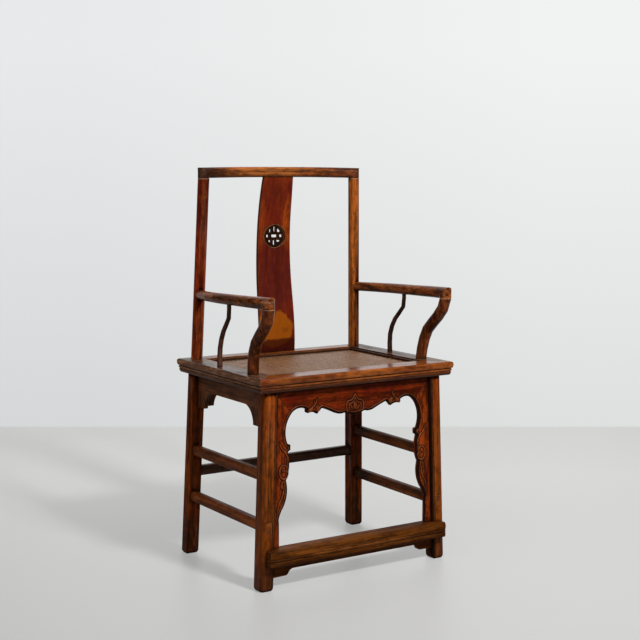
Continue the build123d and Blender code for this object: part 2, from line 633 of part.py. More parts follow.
def side_stretcher(z, tenon_depth, tenon_section):
    """A stretcher between the legs of one side; returns the whole piece and its two tenons."""
    front_x, front_axis = front_leg_axis(z)
    rear_x, rear_axis = rear_leg_axis(z)
    start, end = place(front_x, front_axis, z), place(rear_x, rear_axis, z)
    bar = bar_between(start, end, RectangleRounded(STRETCHER_HIGH, STRETCHER_WIDE, STRETCHER_ROUND))
    bar -= front_leg
    bar -= rear_leg_square
    heading = (end - start).normalized()
    tenon_start = start - heading * (front_axis - tenon_depth)
    front_tenon = bar_between(tenon_start, start + heading * TENON_FROM_AXIS, Rectangle(*tenon_section))
    rear_tenon = bar_between(end - heading * TENON_FROM_AXIS, end, Rectangle(*STRETCHER_TENON))
    return bar + front_tenon + rear_tenon, front_tenon, rear_tenon


upper_stretcher, upper_front_tenon, upper_rear_tenon = side_stretcher(SIDE_UPPER_Z, 37.0, STRETCHER_TENON)
lower_stretcher, lower_front_tenon, lower_rear_tenon = side_stretcher(SIDE_LOWER_Z, 17.0, THROUGH_TENON)

back_x, back_depth = rear_leg_axis(BACK_Z)
back_stretcher = bar_between(place(-back_x, back_depth, BACK_Z), place(back_x, back_depth, BACK_Z),
                             RectangleRounded(STRETCHER_HIGH, STRETCHER_WIDE, STRETCHER_ROUND))
for leg in back_legs:
    back_stretcher -= leg
back_tenon = block((back_x - 22, back_x), (back_depth - 6, back_depth + 6), (BACK_Z - 9, BACK_Z + 9))
back_stretcher += back_tenon + mirrored(back_tenon)

front_leg_grooved -= foot_rail_tenon + foot_apron_right
front_leg_grooved -= side_apron + side_bracket_front
front_leg_grooved -= upper_front_tenon + lower_front_tenon
rear_leg -= side_apron + side_bracket_rear + back_apron + back_bracket
rear_leg -= upper_rear_tenon + lower_rear_tenon + back_tenon


# ---------------------------------------------------------------- the chair

both_sides("front_leg_{}", front_leg_grooved)
both_sides("rear_leg_{}", rear_leg)
nodes["seat_rail_front"] = rail_front
nodes["seat_rail_back"] = rail_back
both_sides("seat_rail_{}", rail_side)
both_sides("seat_brace_{}", seat_brace)
nodes["seat_webbing"] = seat_webbing
nodes["seat_mat"] = seat_mat
nodes["mat_strip_front"] = strips & mitre_wedge([OPEN_FL, OPEN_FR, STRIP_FR, STRIP_FL])
nodes["mat_strip_back"] = strips & mitre_wedge([OPEN_BL, OPEN_BR, STRIP_BR, STRIP_BL])
both_sides("mat_strip_{}", strips & mitre_wedge([OPEN_FR, OPEN_BR, STRIP_BR, STRIP_FR]))
nodes["crest_rail"] = crest
nodes["back_splat"] = splat
both_sides("arm_{}", arm)
both_sides("arm_post_{}", arm_post)
both_sides("side_post_{}", side_post)
nodes["front_apron"] = front_apron
both_sides("front_spandrel_{}", front_spandrel)
both_sides("side_apron_{}", side_apron)
both_sides("side_bracket_front_{}", side_bracket_front)
both_sides("side_bracket_rear_{}", side_bracket_rear)
nodes["back_apron"] = back_apron
both_sides("back_bracket_{}", back_bracket)
nodes["foot_rail"] = foot_rail
nodes["foot_rail_apron"] = foot_rail_apron
both_sides("side_stretcher_upper_{}", upper_stretcher)
both_sides("side_stretcher_lower_{}", lower_stretcher)
nodes["back_stretcher"] = back_stretcher

for name, solid in nodes.items():
    export_step(solid, f"parts/{name}.step")
    print(f"{name:28s} {solid.volume / 1000:9.1f} cm3  {len(solid.solids())} solid(s)")
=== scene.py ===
# %% [markdown]
# # An official's hat armchair
# The chair is a jointed hardwood frame with a bowed back board, goose-neck arm posts, a cusped
# and carved apron and a woven seat. The solids, with their real sizes and joints, are loaded
# first and stay where they are. This script gives each of them its lacquered wood, lays the
# woven seat into the frame, and adds the shallow carving that a carver would do last.

# %% Load the chair
import json
import math

import bmesh
import bpy
import numpy as np
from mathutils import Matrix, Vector


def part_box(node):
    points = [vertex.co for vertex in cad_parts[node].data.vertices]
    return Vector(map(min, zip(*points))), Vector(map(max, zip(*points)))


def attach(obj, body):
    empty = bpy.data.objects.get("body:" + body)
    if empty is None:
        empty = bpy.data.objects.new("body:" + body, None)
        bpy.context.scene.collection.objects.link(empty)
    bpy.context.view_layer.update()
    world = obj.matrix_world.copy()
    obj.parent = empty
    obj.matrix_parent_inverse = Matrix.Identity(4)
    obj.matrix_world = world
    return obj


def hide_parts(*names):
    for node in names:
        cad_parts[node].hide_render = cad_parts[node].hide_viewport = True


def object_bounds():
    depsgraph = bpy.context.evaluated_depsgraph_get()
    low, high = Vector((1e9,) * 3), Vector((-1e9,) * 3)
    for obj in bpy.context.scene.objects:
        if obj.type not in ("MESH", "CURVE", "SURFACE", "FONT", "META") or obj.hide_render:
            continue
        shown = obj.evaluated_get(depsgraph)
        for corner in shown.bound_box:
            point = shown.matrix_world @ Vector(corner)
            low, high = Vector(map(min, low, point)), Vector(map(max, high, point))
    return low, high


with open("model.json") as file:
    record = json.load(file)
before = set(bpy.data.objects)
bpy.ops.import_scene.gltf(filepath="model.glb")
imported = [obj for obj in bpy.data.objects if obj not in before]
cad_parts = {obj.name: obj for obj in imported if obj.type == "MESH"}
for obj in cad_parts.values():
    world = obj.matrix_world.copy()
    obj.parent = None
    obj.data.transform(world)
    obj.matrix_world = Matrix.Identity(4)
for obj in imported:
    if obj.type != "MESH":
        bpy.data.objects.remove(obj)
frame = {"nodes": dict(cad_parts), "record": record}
scene = bpy.context.scene
solids_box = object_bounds()
low, high = (np.array(corner) for corner in solids_box)
print("the chair is", np.round((high - low) * 1000), "mm wide, deep and high")

# %% [markdown]
# ## The camera
# A chair is best shown from a little to one side and a little above the seat. A long lens, far
# away, keeps the legs nearly parallel. It is aimed at the chair's middle.

# %% Camera
CAMERA_PLACE = Vector((-1.7559, -2.7714, 0.9828))
CAMERA_TARGET = Vector((0.0238, 0.0121, 0.6120))
LENS = 73.08  # mm, on a sensor 36 mm wide


def aimed(name, data, place, target):
    """Puts a camera or a lamp in its place and turns it towards a target."""
    thing = bpy.data.objects.new(name, data)
    thing.location = place
    thing.rotation_euler = (target - place).to_track_quat("-Z", "Y").to_euler()
    scene.collection.objects.link(thing)
    return thing


camera_data = bpy.data.cameras.new("camera")
camera_data.lens = LENS
scene.camera = aimed("camera", camera_data, CAMERA_PLACE, CAMERA_TARGET)
print("the camera stands", round((CAMERA_TARGET - CAMERA_PLACE).length, 2), "m away")

# %% [markdown]
# ## Small helpers
# A material in Blender is a graph of nodes. A few helpers keep the graphs short: they add a node
# and fill its sockets, mix two colours, or bring a value into a range. Colours are written as the
# 0 to 255 values of a screen, and turned into the linear values that a shader works with. Meshes
# come from arrays of points and faces, which numpy fills without a loop over the points.

# %% Helpers for materials and meshes
def screen(red, green, blue):
    """A screen colour as a linear one: below 0.04 divided by 12.92, above it a power of 2.4."""
    value = np.array([red, green, blue]) / 255
    linear = np.where(value <= 0.04045, value / 12.92, ((value + 0.055) / 1.055) ** 2.4)
    return (*linear.tolist(), 1.0)


def add(tree, kind, inputs=(), **settings):
    """Adds a node. An input takes a value, an output, or a node, which means its first output."""
    node = tree.nodes.new("ShaderNode" + kind)
    for name, value in settings.items():
        setattr(node, name, value)
    for socket, value in dict(inputs).items():
        value = value.outputs[0] if isinstance(value, bpy.types.Node) else value
        if isinstance(value, bpy.types.NodeSocket):
            tree.links.new(value, node.inputs[socket])
        else:
            node.inputs[socket].default_value = value
    return node


def mixed(tree, amount, first, second, how="MIX"):
    """The colour first, with as much of second laid over it as amount says."""
    node = add(tree, "Mix", {0: amount, 6: first, 7: second}, data_type="RGBA", blend_type=how)
    return node.outputs[2]


def maths(tree, how, first, second=0.0):
    """One step of arithmetic, such as MULTIPLY or MAXIMUM, on one value or two."""
    return add(tree, "Math", {0: first, 1: second}, operation=how)


def vector_node(tree, how, first, second=(0, 0, 0)):
    """The same on vectors; a dot product or length gives a plain value."""
    node = add(tree, "VectorMath", {0: first, 1: second}, operation=how)
    return node.outputs["Value" if how in ("DOT_PRODUCT", "LENGTH") else "Vector"]


def between(tree, value, start, end, low=0.0, high=1.0):
    """value brought from start..end to low..high, and held there."""
    inputs = {0: value, 1: start, 2: end, 3: low, 4: high}
    return add(tree, "MapRange", inputs, clamp=True)


def laid_over(tree, colour, layers):
    """Layers of (noise, start, end, amount, tint): from start to end the tint grows to its amount."""
    for noise, start, end, amount, tint in layers:
        colour = mixed(tree, between(tree, noise, start, end, 0.0, amount), colour, tint)
    return colour


def new_material(name):
    """An empty material, and the tree for its nodes."""
    material = bpy.data.materials.new(name)
    material.use_nodes = True
    material.node_tree.nodes.clear()
    return material, material.node_tree


def new_mesh(name, points, faces):
    """A mesh object from arrays of points and of faces, linked to the scene."""
    mesh = bpy.data.meshes.new(name)
    mesh.from_pydata(points.tolist(), [], faces if isinstance(faces, list) else faces.tolist())
    mesh.shade_smooth()
    mesh.update()
    piece = bpy.data.objects.new(name, mesh)
    scene.collection.objects.link(piece)
    return piece


def attribute(piece, name, values):
    """Keeps one number per point on a mesh, where a material can read it."""
    layer = piece.data.attributes.new(name, "FLOAT", "POINT")
    layer.data.foreach_set("value", np.asarray(values, np.float32))


def tube_faces(index):
    """Quads between neighbours in a grid of point numbers, closed in its last direction."""
    turned = np.roll(index, -1, axis=-1)
    corners = index[..., :-1, :], turned[..., :-1, :], turned[..., 1:, :], index[..., 1:, :]
    return np.stack(corners, axis=-1).reshape(-1, 4)


def read(items, name, kind):
    """A property of every vertex or triangle of a mesh, three numbers a row."""
    values = np.empty(len(items) * 3, kind)
    items.foreach_get(name, values)
    return values.reshape(-1, 3)


print("a grey of 128 on a screen is", round(screen(128, 128, 128)[0], 3), "of white")

# %% [markdown]
# ## Floor, wall and light
# The chair stands in a plain white room. One lamp in front of it throws its shadow back to the
# wall, and a weak light from all around, stronger from the left, fills the rest. The wall is
# one-sided: seen from behind it lets everything through, so the chair can be looked at from any
# side. Far to the sides it is dark in reflections, or the glossy posts would look like plastic.

# %% Floor and wall
WALL_DISTANCE = 1.76  # behind the chair's middle, seen from the camera
ROOM = 9.0  # from the middle to each end of the floor
COVE = 0.03  # radius of the curve between floor and wall

view = (CAMERA_TARGET - CAMERA_PLACE).to_2d().normalized()
away, beside = np.array([view.x, view.y, 0]), np.array([view.y, -view.x, 0])


def room_surface(name, outline):
    """A long strip: an outline of (distance away, height) carried sideways across the room."""
    sideways = np.array([-ROOM, ROOM])
    outline = np.array(outline)
    points = (outline[:, None, :1] * away + sideways[None, :, None] * beside
              + outline[:, None, 1:] * np.array([0, 0, 1]))
    rows = np.arange(len(outline) - 1)[:, None] * 2
    faces = rows + np.array([0, 1, 3, 2])
    piece = new_mesh(name, points.reshape(-1, 3), faces)
    return piece


turn = np.linspace(0, math.pi / 2, 9)
cove = [(WALL_DISTANCE - COVE + COVE * math.sin(t), COVE - COVE * math.cos(t)) for t in turn]
floor = room_surface("floor", [(-ROOM, 0), cove[0]])
wall = room_surface("wall", [*cove, (WALL_DISTANCE, ROOM)])
print("the wall is", WALL_DISTANCE, "m behind the chair")

# %% Room materials
FLOOR_GLOW = 0.52  # how much of its tone the floor shows by itself
FLOOR_NEAR, FLOOR_FAR = -1.3, 0.9  # from its darker part to its lighter one
LIT_WALL = 1.1  # to each side: further out the wall is dark in reflections
UPPER_WALL = 1.45


def floor_material():
    """A pale floor with a faint sheen; part of its tone is its own light, for the camera only."""
    material, tree = new_material("pale_floor")
    place = add(tree, "TexCoord").outputs["Object"]
    towards = vector_node(tree, "DOT_PRODUCT", place, away)
    # painted light and shade: the floor is painted darker towards the camera and lighter far off
    far = between(tree, towards, FLOOR_NEAR, FLOOR_FAR)
    paint = mixed(tree, far, screen(144, 144, 144), screen(174, 174, 173))
    shown = mixed(tree, far, screen(174, 174, 174), screen(209, 210, 208))
    body = add(tree, "BsdfPrincipled", {"Base Color": paint, "Roughness": 0.42, "Specular IOR Level": 0.3})
    glow = add(tree, "Emission", {"Color": shown, "Strength": FLOOR_GLOW})
    seen = add(tree, "LightPath").outputs["Is Camera Ray"]
    dark = add(tree, "Emission", {"Strength": 0.0})
    lit = add(tree, "MixShader", {0: seen, 1: dark, 2: glow})
    both = add(tree, "AddShader", {0: body, 1: lit})
    add(tree, "OutputMaterial", {"Surface": both})
    return material


def wall_material():
    """A pale wall that shows its own tone to the camera, lighter above, and nothing from behind."""
    material, tree = new_material("pale_wall")
    place = add(tree, "TexCoord").outputs["Object"]
    height = add(tree, "SeparateXYZ", {0: place}).outputs["Z"]
    across = vector_node(tree, "DOT_PRODUCT", place, beside)
    # painted light and shade on the wall: lighter up to UPPER_WALL, and a painted shade towards the left
    tone = mixed(tree, between(tree, height, 0.0, UPPER_WALL), screen(222, 224, 223), screen(241, 243, 242))
    shadier = between(tree, across, 0.9, -0.9)
    tone = mixed(tree, shadier, tone, mixed(tree, 1.0, tone, screen(245, 245, 247), "MULTIPLY"))
    rays = add(tree, "LightPath")
    seen, mirrored = rays.outputs["Is Camera Ray"], rays.outputs["Is Glossy Ray"]
    lit_part = between(tree, maths(tree, "ABSOLUTE", across), LIT_WALL, 2 * LIT_WALL, 1.0, 0.04)
    shown = maths(tree, "MAXIMUM", seen, mirrored)
    body = add(tree, "BsdfDiffuse", {"Color": screen(150, 150, 150)})
    own = add(tree, "Emission", {"Color": tone, "Strength": maths(tree, "MAXIMUM", seen, lit_part)})
    front = add(tree, "MixShader", {0: shown, 1: body, 2: own})
    clear = add(tree, "BsdfTransparent")
    behind = add(tree, "NewGeometry").outputs["Backfacing"]
    both = add(tree, "MixShader", {0: behind, 1: front, 2: clear})
    add(tree, "OutputMaterial", {"Surface": both})
    return material


floor.data.materials.append(floor_material())
wall.data.materials.append(wall_material())
print("the wall is lit", LIT_WALL, "m to each side")

# %% Lamp and surrounding light
LAMP_PLACE = Vector((0.21, -2.38, 2.41))
LAMP_TARGET = Vector((0, 0, 0.45))
LAMP_SIZE = 0.42
LAMP_POWER = 84.0
SURROUND = 0.09  # strength of the even light from all around
LEFT_FILL = 1.1  # added towards the left, so that the side of the chair isn't lost
FILL_WAY = (-0.90, -0.39, 0.2)
STRIP = 0.7  # a tall narrow light in front, for a gleam down every round post
STRIP_WAY, STRIP_SIDE = (0.13, -0.99, 0.0), (0.99, 0.13, 0.0)

lamp_data = bpy.data.lights.new("lamp", "AREA")
lamp_data.shape = "DISK"
lamp_data.size = LAMP_SIZE
lamp_data.energy = LAMP_POWER
aimed("lamp", lamp_data, LAMP_PLACE, LAMP_TARGET).visible_camera = False

world = bpy.data.worlds.new("surround")
world.use_nodes = True
scene.world = world
sky = world.node_tree
sky.nodes.clear()
seen = add(sky, "LightPath").outputs["Is Camera Ray"]
towards = add(sky, "TexCoord").outputs["Generated"]


def facing(direction):
    """How far a ray points along a direction: their dot product."""
    return vector_node(sky, "DOT_PRODUCT", towards, direction)


left = between(sky, facing(FILL_WAY), 0.45, 1.0, 0.0, LEFT_FILL)
beside_strip = maths(sky, "ABSOLUTE", facing(STRIP_SIDE))
strip = between(sky, beside_strip, 0.10, 0.17, STRIP, 0.0)
strip = maths(sky, "MULTIPLY", strip, between(sky, facing(STRIP_WAY), 0.3, 0.5))
strip = maths(sky, "MULTIPLY", strip, between(sky, facing((0.0, 0.0, 1.0)), -0.15, 0.0))
light = maths(sky, "ADD", maths(sky, "ADD", left, strip), SURROUND)
even = add(sky, "Background", {"Color": screen(255, 253, 250), "Strength": light})
backdrop = add(sky, "Background", {"Color": screen(232, 234, 233), "Strength": 1.0})
either = add(sky, "MixShader", {0: seen, 1: even, 2: backdrop})
add(sky, "OutputWorld", {"Surface": either})

scene.view_settings.view_transform = "Standard"
print("one lamp of", LAMP_POWER, "W and an even light of", SURROUND)

# %% [markdown]
# ## Old lacquered wood
# The whole chair is one hardwood under a thin, dark red-brown lacquer. Three things make such a
# finish look old: long fibres show through it, the lacquer has rubbed off along the edges so
# that the wood glows orange there, and dark grime has stayed in the corners. The corners are
# darkened by that grime and by painted shade together, and faces that point down get painted
# shade as well. The fibres are a noise stretched along the piece. The rubbed edges come from a
# comparison of the true normal with one that is rounded over the edges, and the grime and painted
# shade in corners from a look at how closed in a point is.

# %% Grain and patches
ARRIS = 0.0022  # how far from an edge the lacquer is rubbed, in metres
CORNER = 0.014  # how far out of a corner dirt and painted shade reach
# the near-black of dirt and painted shade in corners and carved hollows
DIRT_AND_SHADE = screen(14, 7, 4)
BARE = screen(168, 100, 50)  # wood where the lacquer is rubbed off
PATCH_END = 1.3  # with 0.3 for the ragged noise, a patch ends at its radii
FIBRE_AXES = {"X": (0, 0, 0), "Y": (0, 0, math.pi / 2), "Z": (0, math.pi / 2, 0)}
GRAINS = [  # (waves in a metre along the fibres, and across them, detail, added to the seed)
    (5, 16, 3.0, 0),  # clouds, where the ground glows
    (2.4, 60, 2.0, 3),  # streaks
    (3.5, 170, 3.0, 5),  # bands, narrower than the streaks
    (9, 420, 2.0, 7),  # fibres
    (60, 1500, 1.0, 11),  # pores
    (38, 120, 3.0, 13),  # mottling
    (30, 60, 2.0, 17),  # where an edge is rubbed more
    (30, 40, 4.0, 19),  # blots
    (14, 34, 4.0, 23),  # smears in the gloss
]


def stretched_noise(tree, place, along, across, detail, seed):
    """Noise whose grains are long along local x: its frequencies, per metre, along and across."""
    moved = add(tree, "Mapping", {"Vector": place, "Location": (seed, seed * 0.7, -seed),
                                  "Scale": (along, across, across)})
    inputs = {"Vector": moved, "Scale": 1.0, "Detail": detail, "Roughness": 0.6}
    return add(tree, "TexNoise", inputs)


def marked(tree, colour, place, ragged, middle, radii, tint, amount, border):
    """The colour with one egg-shaped patch of tint; border says how softly it ends.

    The distance is the length of the offset from the middle over the radii, and a ragged noise.
    """
    scaled = vector_node(tree, "DIVIDE", vector_node(tree, "SUBTRACT", place, middle), radii)
    reach = maths(tree, "ADD", vector_node(tree, "LENGTH", scaled), ragged)
    part = between(tree, reach, PATCH_END + border, PATCH_END - border, 0.0, amount)
    return mixed(tree, part, colour, screen(*tint))


print("each wood is made of", len(GRAINS), "noises")


# %% The wood material
def lacquered_wood(name, axis, tones, seed, marks, stains, gloss=0.30, grime_and_shade=0.85, soft=ARRIS,
                   coat=0.05, shine=0.22, wear=0.85, stripes=0.7, mottling=0.5):
    """Wood along an axis, in three tones: its ground, a lighter glow and a darker shade.

    gloss is its roughness, coat and shine are the strengths of two reflections, wear says how far
    edges are rubbed, the grime-and-shade amount how dark corners get from dirt and painted shade,
    and soft how round edges look. A mark is (middle, radii, colour, amount), a soft patch of the
    ground; a stain is the same, sharper and on top.
    """
    material, tree = new_material(name + "_" + axis.lower())
    ground, glow, shade = (screen(*tone) for tone in tones)
    place = add(tree, "TexCoord").outputs["Object"]
    turned = add(tree, "Mapping", {"Vector": place, "Rotation": FIBRE_AXES[axis]})
    clouds, streaks, bands, fibres, pores, mottle, patchy, blots, smear = (
        stretched_noise(tree, turned, *waves, detail, seed + more) for *waves, detail, more in GRAINS)
    ragged = maths(tree, "ADD", maths(tree, "MULTIPLY", blots, 0.4), maths(tree, "MULTIPLY", clouds, 0.2))

    colour = mixed(tree, between(tree, clouds, 0.40, 0.60), ground, glow)
    for mark in marks:
        colour = marked(tree, colour, place, ragged, *mark, border=0.2)
    colour = laid_over(tree, colour, [
        (streaks, 0.44, 0.60, stripes, shade), (bands, 0.50, 0.62, 0.75 * stripes, shade),
        (bands, 0.44, 0.34, 0.6 * stripes, glow), (mottle, 0.52, 0.64, mottling, shade),
        (mottle, 0.46, 0.34, mottling, glow), (fibres, 0.35, 0.7, 0.32, shade),
        (pores, 0.6, 0.72, 0.55, shade)])
    for stain in stains:
        colour = marked(tree, colour, place, ragged, *stain, border=0.06)
    colour = mixed(tree, between(tree, blots, 0.52, 0.66, 0.0, 0.35), colour, shade)

    true = add(tree, "NewGeometry").outputs["Normal"]
    # painted shade: faces that point down are darkened towards the shade tone
    painted_shade_below = between(tree, add(tree, "SeparateXYZ", {0: true}).outputs["Z"], -0.15, -0.8, 0.0, 0.6)
    colour = mixed(tree, painted_shade_below, colour, shade)
    tight = add(tree, "Bevel", {"Radius": ARRIS}, samples=4)
    rounded = tight if soft == ARRIS else add(tree, "Bevel", {"Radius": soft}, samples=6)
    same = vector_node(tree, "DOT_PRODUCT", true, tight)
    edge = between(tree, same, 0.995, 0.86)
    rubbed = maths(tree, "MULTIPLY", edge, between(tree, patchy, 0.36, 0.6, 0.15 * wear, wear))
    ridge = add(tree, "Attribute", attribute_name="carved_ridge").outputs["Fac"]
    colour = mixed(tree, maths(tree, "MAXIMUM", rubbed, ridge), colour, BARE)

    # dirt and painted shade in corners: the more closed in a point is, the darker it is painted
    open_air = add(tree, "AmbientOcclusion", {"Distance": CORNER}, samples=6).outputs["AO"]
    closed_in = between(tree, open_air, 0.35, 0.85, grime_and_shade, 0.0)
    # dirt and painted shade in carved hollows, and painted shade on the inner side of the front legs
    cut = add(tree, "Attribute", attribute_name="carved_dirt").outputs["Fac"]
    dirt_and_shade = maths(tree, "MAXIMUM", closed_in, cut)
    colour = mixed(tree, dirt_and_shade, colour, DIRT_AND_SHADE)

    height = mixed(tree, 0.5, fibres, pores)
    raised = add(tree, "Bump", {"Height": height, "Normal": rounded, "Strength": 0.22, "Distance": 0.0006})
    roughness = between(tree, smear, 0.3, 0.7, gloss - 0.08, gloss + 0.14)
    roughness = maths(tree, "MAXIMUM", roughness, dirt_and_shade)
    surface = add(tree, "BsdfPrincipled", {
        "Base Color": colour, "Roughness": roughness, "Normal": raised,
        "Specular IOR Level": shine, "Specular Tint": (1.0, 0.62, 0.42, 1.0),
        "Coat Weight": coat, "Coat Roughness": 0.16,
    })
    add(tree, "OutputMaterial", {"Surface": surface})
    return material


# %% [markdown]
# ## Which wood goes where
# Handled parts have lost most of their lacquer and are orange-brown: the crest rail, the arms and
# the front of the seat frame. The splat and the apron have kept the reddest lacquer, and the
# boards under the sides of the seat are the dullest. The side rails are paler and greyer, with a
# painted sheen in their tone. A joiner cuts each piece along its length, so its fibres run that
# way. Some pieces have marks of their own, such as light sapwood at the foot of the splat, dirt
# and painted shade along the mouldings and a pale line at a seam. Others are painted light:
# painted shade on the ends of the crest, under the seat rail, at the back of the right stretchers
# and in the roundel, and a painted highlight in the middle of the crest.

# %% Finishes by piece
FINISHES = {  # tones are the ground, the glow and the shade, as on a screen
    "frame_wood": dict(tones=((111, 42, 10), (141, 64, 13), (34, 10, 3)), coat=0.0, shine=0.1, stripes=0.55),
    "post_wood": dict(tones=((102, 36, 11), (134, 62, 18), (34, 10, 4)), coat=0.0, shine=0.08, wear=0.2),
    "arm_post_wood": dict(tones=((94, 40, 14), (134, 66, 26), (24, 9, 4)), gloss=0.22, coat=0.08, wear=0.4),
    "ring_wood": dict(tones=((96, 60, 36), (184, 130, 84), (26, 14, 8))),
    "crest_wood": dict(tones=((122, 56, 20), (160, 86, 36), (42, 18, 8)),
                       soft=0.008, gloss=0.28, shine=0.3, wear=0.25, stripes=0.8),
    "splat_wood": dict(tones=((106, 29, 12), (132, 47, 11), (58, 14, 8)),
                       shine=0.15, stripes=0.4, mottling=0.25),
    "seat_frame_wood": dict(tones=((122, 54, 15), (168, 92, 34), (50, 18, 6)),
                            gloss=0.22, coat=0.16, shine=0.25, stripes=0.4),
    # the side rails: paler, greyer wood with a painted sheen in its tone
    "side_rail_wood": dict(tones=((150, 100, 70), (178, 128, 92), (62, 36, 24)),
                           coat=0.06, shine=0.2, stripes=0.6),
    "apron_wood": dict(tones=((98, 24, 5), (126, 44, 8), (36, 8, 3)),
                       shine=0.1, coat=0.02, stripes=0.65, mottling=0.6),
    "side_board_wood": dict(tones=((102, 33, 6), (156, 64, 13), (46, 10, 3)),
                            shine=0.1, stripes=0.75, mottling=0.85),
    "dark_wood": dict(tones=((90, 50, 28), (112, 66, 38), (34, 18, 10)), gloss=0.45, coat=0.0),
    "batten_wood": dict(tones=((134, 96, 62), (160, 120, 80), (92, 62, 40))),
    "handled_wood": dict(tones=((122, 58, 22), (166, 92, 42), (24, 10, 5)),
                         gloss=0.2, coat=0.08, wear=0.6, mottling=0.7),
    "stretcher_wood": dict(tones=((112, 54, 20), (140, 74, 30), (46, 21, 8)),
                           gloss=0.4, coat=0.0, shine=0.15, stripes=0.6),
    "tread_wood": dict(tones=((80, 38, 8), (100, 54, 14), (34, 15, 4)),
                       gloss=0.4, coat=0.0, shine=0.06, wear=0.35, stripes=0.6),
    "strip_wood": dict(tones=((66, 40, 30), (94, 58, 44), (26, 15, 12))),
}
FINISH_BY_START = [
    ("handled_wood", ("arm_left", "arm_right")),
    ("arm_post_wood", "arm_post"),
    ("ring_wood", "roundel_ring"),
    ("post_wood", "rear_leg"),
    ("side_rail_wood", ("seat_rail_left", "seat_rail_right")),
    ("stretcher_wood", "side_stretcher"),
    ("tread_wood", "foot_rail"),
    ("strip_wood", ("mat_strip", "side_post", "back_stretcher")),
    ("side_board_wood", "front_spandrel"),
]
FAR = 9.0  # a radius so large that a patch doesn't end there


def band(height, half, tint, amount):
    """A patch that runs round a piece at one height."""
    return (0, 0, height), (FAR, FAR, half), tint, amount


FOOT_DIRT = band(0, 0.095, (72, 42, 24), 0.8)
MARKS_BY_START = [  # soft patches: (middle, radii, colour, amount)
    # the crest: a painted highlight in its middle, and painted shade on both elbows
    ([((-0.05, 0, 0.98), (0.10, FAR, FAR), (192, 112, 52), 0.75),
      ((-0.30, 0, 0.98), (0.13, FAR, FAR), (36, 20, 12), 0.95),
      ((0.30, 0, 0.98), (0.15, FAR, FAR), (98, 46, 22), 0.9)], "crest_rail"),
    ([((-0.040, 0.19, 0.855), (0.010, FAR, 0.075), (140, 56, 14), 0.7),
      ((0.036, 0.19, 0.85), (0.012, FAR, 0.07), (158, 68, 14), 0.85),
      ((0.0, 0.19, 0.72), (0.050, FAR, 0.10), (80, 24, 20), 0.8)], "back_splat"),
    ([((0.26, 0.2, 0.80), (FAR, FAR, 0.30), (172, 93, 35), 0.95), FOOT_DIRT], "rear_leg_right"),
    ([((-0.26, 0.2, 0.86), (FAR, FAR, 0.22), (126, 34, 14), 0.9), FOOT_DIRT], "rear_leg_left"),
    ([FOOT_DIRT, band(0.22, 0.15, (130, 67, 17), 0.75)], "front_leg"),
    # painted shade on the rear ends of the right stretchers, which lie in shade, on darker unhandled wood
    ([((0, 0.21, 0), (FAR, 0.11, FAR), (26, 14, 9), 0.95)],
     ("side_stretcher_upper_right", "side_stretcher_lower_right")),
    ([band(0.5125, 0.004, (74, 38, 22), 0.9)], ("seat_rail_left", "seat_rail_right")),
    ([((-0.257, -0.205, 0.690), (0.016, 0.016, 0.008), (214, 176, 150), 0.6),
      ((-0.265, 0.19, 0.69), (0.03, 0.03, 0.02), (60, 30, 20), 0.8)], "arm_left"),
    ([((-0.08, -0.21, 0.097), (0.15, FAR, 0.013), (132, 74, 24), 0.8)], "foot_rail"),
]
# dirt and painted shade in the grooves of a moulding
GROOVE_DIRT_AND_SHADE = (24, 9, 4)
SEAM = (158, 134, 112)  # a glued seam that has opened a little
STAINS_BY_START = [  # patches with a sharp border
    ([((-0.012, 0.19, 0.574), (0.056, FAR, 0.048), (146, 76, 8), 0.8),
      band(0.502, 0.042, (46, 6, 4), 0.85),
      # painted shade: the roundel's fret and the board behind it are near-black, for the shade in the
      # openwork
      ((0.001, 0.20, 0.820), (0.033, FAR, 0.031), (16, 9, 7), 0.95)], "back_splat"),
    # painted shadow of the seat rail across the top of the apron
    ([band(0.4765, 0.0050, (20, 6, 3), 0.85)], "front_apron"),
    # dirt and painted shade in the two grooves of the seat rails, and painted shade on their lower edge
    ([band(0.4950, 0.0016, GROOVE_DIRT_AND_SHADE, 0.85), band(0.4870, 0.0013, GROOVE_DIRT_AND_SHADE, 0.85),
      band(0.4810, 0.0045, (46, 14, 5), 0.85)], "seat_rail"),
    # dirt and painted shade in the reed grooves of the foot rail, and painted shade on its lower edge
    ([band(0.0757, 0.0011, (24, 10, 4), 0.85), band(0.0828, 0.0011, (24, 10, 4), 0.85),
      band(0.0620, 0.0040, (40, 18, 8), 0.7)], "foot_rail"),
    ([band(0.9713, 0.0009, SEAM, 0.55)], "rear_leg"),
    ([((x, -0.207, 0.6728), (0.03, 0.03, 0.0010), SEAM, 0.6) for x in (0.257, -0.257)],
     ("arm_left", "arm_right")),
]
SLOTS = {row["node"]: row.get("material_slot") for row in frame["record"]["subparts"]}
made_materials = {}


def by_start(table, node, other):
    """The first value in a table with a start of the node's name, or else the other value."""
    return next((value for value, starts in table if node.startswith(starts)), other)


def fibre_axis(node):
    """The axis along which a piece is longest; the brackets and the ring have upright fibres."""
    if "bracket" in node or node not in frame["nodes"]:
        return "Z"
    low, high = np.array(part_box(node))
    return "XYZ"[(high - low).argmax()]


def finish_for(node):
    """The wood of a node: by its name or else its slot, along its fibres, with its own marks."""
    kind, axis = by_start(FINISH_BY_START, node, SLOTS.get(node)), fibre_axis(node)
    marks, stains = by_start(MARKS_BY_START, node, []), by_start(STAINS_BY_START, node, [])
    key = kind + ("_" + node if marks or stains else ""), axis
    if key not in made_materials:
        seed = 5.0 * len(made_materials)
        made_materials[key] = lacquered_wood(*key, seed=seed, marks=marks, stains=stains, **FINISHES[kind])
    return made_materials[key]


